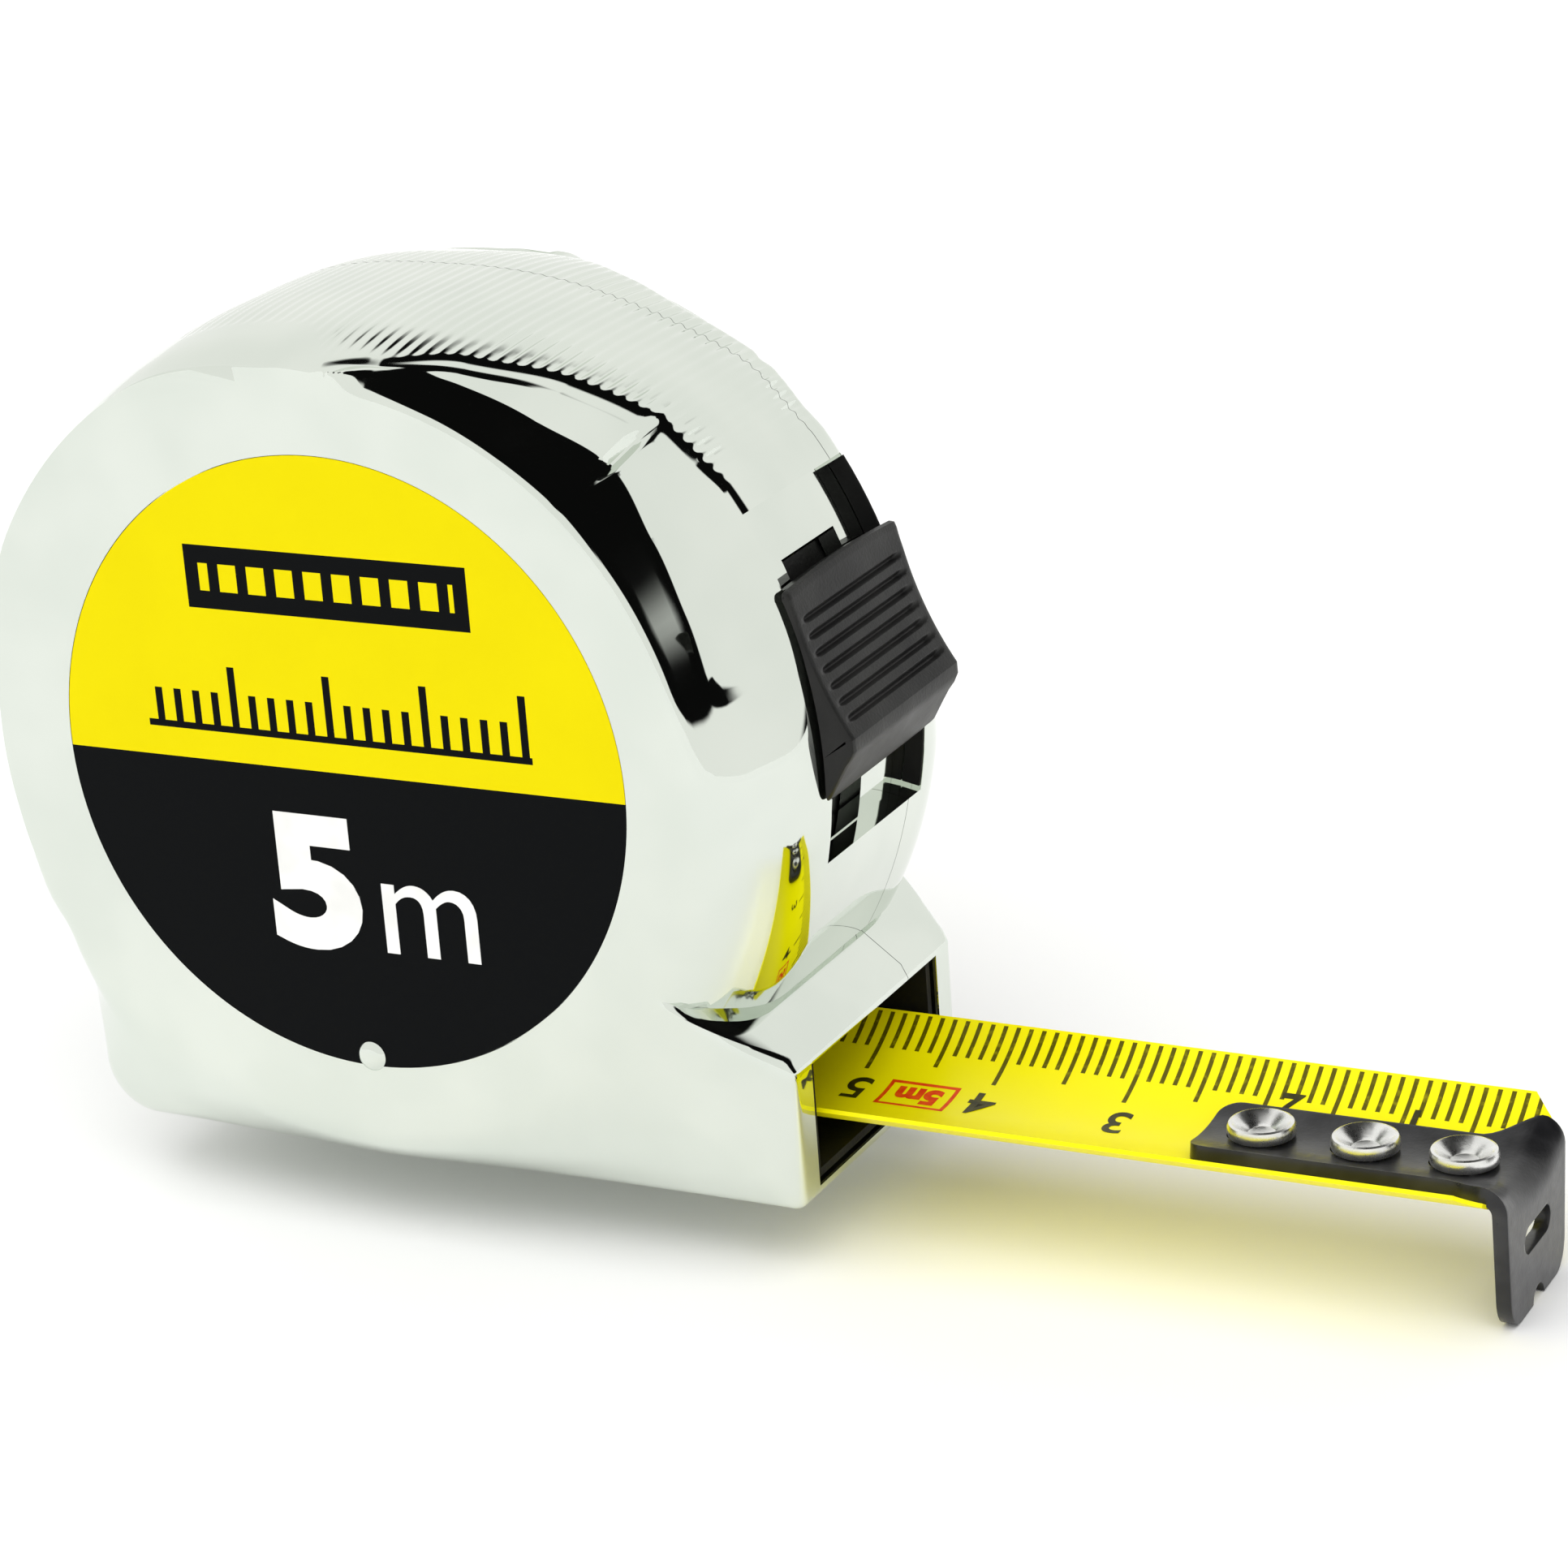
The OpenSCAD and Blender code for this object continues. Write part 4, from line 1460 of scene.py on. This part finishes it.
@dataclass
class BeltClip:
    """The sprung belt clip, bent from plated strip."""

    half_w: float = 7.0
    thickness: float = 0.95
    corner: float = 4.0
    bends: tuple[Point2, ...] = (
        (17.5, 23.0), (17.5, 14.2), (20.7, 10.2), (20.7, -7.4), (18.7, -17.4), (20.7, -21.4),
    )
    bend_cuts: tuple[float, ...] = (1.6, 2.5, 6.0, 2.2)
    hole_r: float = 1.2
    hole_z: float = 18.0

    def build(self) -> None:
        """Builds the clip."""
        path = rounded(self.bends, self.bend_cuts, (16, 6, 16, 10, 12), 6)
        lengths = [0.0]
        for a, b in zip(path, path[1:]):
            lengths.append(lengths[-1] + (Vector(b) - Vector(a)).length)
        total = lengths[-1]

        def place(i: int, j: int) -> Vector:
            """Places the grid point of a step along the clip and a step across it.

            Args:
                i: The step along the clip.
                j: The step across it.

            Returns:
                Where the grid point goes.
            """
            y, z = path[i]
            end = min(lengths[i], total - lengths[i])
            return Vector(((j / 14 * 2 - 1) * (self.half_w - inset(self.corner, end)), y, z))

        strip = Workpiece.sheet(len(path) - 1, 14, place).facing(AXIS_Y)
        strip.thickened(self.thickness)
        hole = Workpiece.prism(arc((0, self.hole_z), self.hole_r, 0, 360, 24), 10, 24)
        strip = strip.carved([hole]).softened(0.15, 50)
        strip.finished("belt_clip_spring", "case", CLIP_STEEL, ("belt_clip",))


# ------------------------------------------------------------ carried-over nodes


class Dressing:
    """Gives each node that stays from the frame its finish."""

    finishes: ClassVar[dict[str, Finish]] = {
        "left_label": LABEL,
        "right_label": LABEL,
        "spindle": LINER,
        "spindle_screw": ZINC,
        "left_thrust_disc": NYLON,
        "right_thrust_disc": NYLON,
        "drum": DRUM_PLASTIC,
        "drum_cover": DRUM_PLASTIC,
        "mainspring": SPRING,
        "blade_roll": BLADE,
        "blade_lead": BLADE,
        "mouth_liner": LINER,
        "case_screws": ZINC,
        "clip_screw": ZINC,
    }

    def build(self) -> None:
        """Dresses the nodes."""
        for node, finish in self.finishes.items():
            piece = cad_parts[node]
            piece.data.materials.clear()
            piece.data.materials.append(finish.material())
            LOG.info("%s: %s", node, finish.name)


# ---------------------------------------------------------------------- studio


@dataclass
class Studio:
    """The floor, the soft light and the camera."""

    target: Point3 = (25.7726, 0.0, 26.459)
    azimuth: float = 27.975
    elevation: float = 20.03
    roll: float = 4.272
    distance: float = 333.113
    lens: float = 109.38
    floor_z: float = -5.0
    sun_power: float = 1.85
    sun_spread: float = 70.0
    sun_tilt: Point2 = (14.0, 10.0)

    def build(self) -> None:
        """Sets the floor, the lights, the world and the camera."""
        self.floor()
        self.world()
        self.lights()
        self.camera()

    def floor(self) -> None:
        """Lays a plain pale floor."""
        made = Workpiece()
        bmesh.ops.create_grid(made.bm, x_segments=4, y_segments=4, size=6000)
        mesh = bpy.data.meshes.new("floor")
        place = Matrix.Scale(MM, 4) @ Matrix.Translation((0, 0, self.floor_z))
        bmesh.ops.transform(made.bm, matrix=place, verts=made.bm.verts)
        made.bm.to_mesh(mesh)
        mesh.materials.append(FLOOR.material())
        floor = bpy.data.objects.new("floor", mesh)
        bpy.context.scene.collection.objects.link(floor)

    def world(self) -> None:
        """Makes a pale studio with a dark ceiling and a dark screen behind the object."""
        world = bpy.data.worlds.new("studio")
        world.use_nodes = True
        bpy.context.scene.world = world
        graph = Graph(world.node_tree)
        coordinates = graph.node("ShaderNodeTexCoord", {}, {}).outputs["Generated"]
        x, y, z = graph.split(coordinates)
        reach = x.rises(-0.35, -0.25) * (1 - y.rises(0.62, 0.72))
        screen = reach * y.rises(0.0, 0.12) * z.rises(-0.06, 0.0)
        ceiling = reach * y.rises(-0.32, -0.24) * z.rises(0.60, 0.66)
        dark = graph.math("MAXIMUM", screen, ceiling)
        light = graph.blend(dark, (1.0, 1.0, 0.98, 1), (0.004, 0.004, 0.004, 1))
        sky = graph.node("ShaderNodeBackground", {}, {"Color": light, "Strength": 1.0})
        graph.node("ShaderNodeOutputWorld", {}, {"Surface": sky.outputs["Background"]})

    def lights(self) -> None:
        """Hangs a broad soft light overhead that does not show in the chrome."""
        data = bpy.data.lights.new("overhead", "SUN")
        data.energy, data.angle = self.sun_power, math.radians(self.sun_spread)
        light = bpy.data.objects.new("overhead", data)
        light.rotation_euler = (*(math.radians(tilt) for tilt in self.sun_tilt), 0)
        light.visible_glossy = False
        bpy.context.scene.collection.objects.link(light)

    def camera(self) -> None:
        """Places the camera."""
        a, e, r = (math.radians(v) for v in (self.azimuth, self.elevation, self.roll))
        back = Vector((math.sin(a) * math.cos(e), -math.cos(a) * math.cos(e), math.sin(e)))
        right = Vector((math.cos(a), math.sin(a), 0))
        up = back.cross(right)
        x_axis = right * math.cos(r) - up * math.sin(r)
        y_axis = right * math.sin(r) + up * math.cos(r)
        turn = Matrix((x_axis, y_axis, back)).transposed().to_4x4()
        data = bpy.data.cameras.new("camera")
        data.lens, data.sensor_width = self.lens, 36.0
        data.clip_start, data.clip_end = 0.01, 20.0
        camera = bpy.data.objects.new("camera", data)
        camera.matrix_world = Matrix.Translation((Vector(self.target) + back * self.distance) * MM) @ turn
        bpy.context.scene.collection.objects.link(camera)
        bpy.context.scene.camera = camera
        bpy.context.scene.view_settings.view_transform = "Standard"


def main() -> None:
    """Builds the tape measure and its studio."""
    logging.basicConfig(level=logging.INFO, format="%(message)s")
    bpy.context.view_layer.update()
    for part in (Studio(), Dressing(), Case(), Labels(), Blade(), Hook(), ThumbLock(), BeltClip()):
        part.build()


if __name__ == "__main__":
    main()
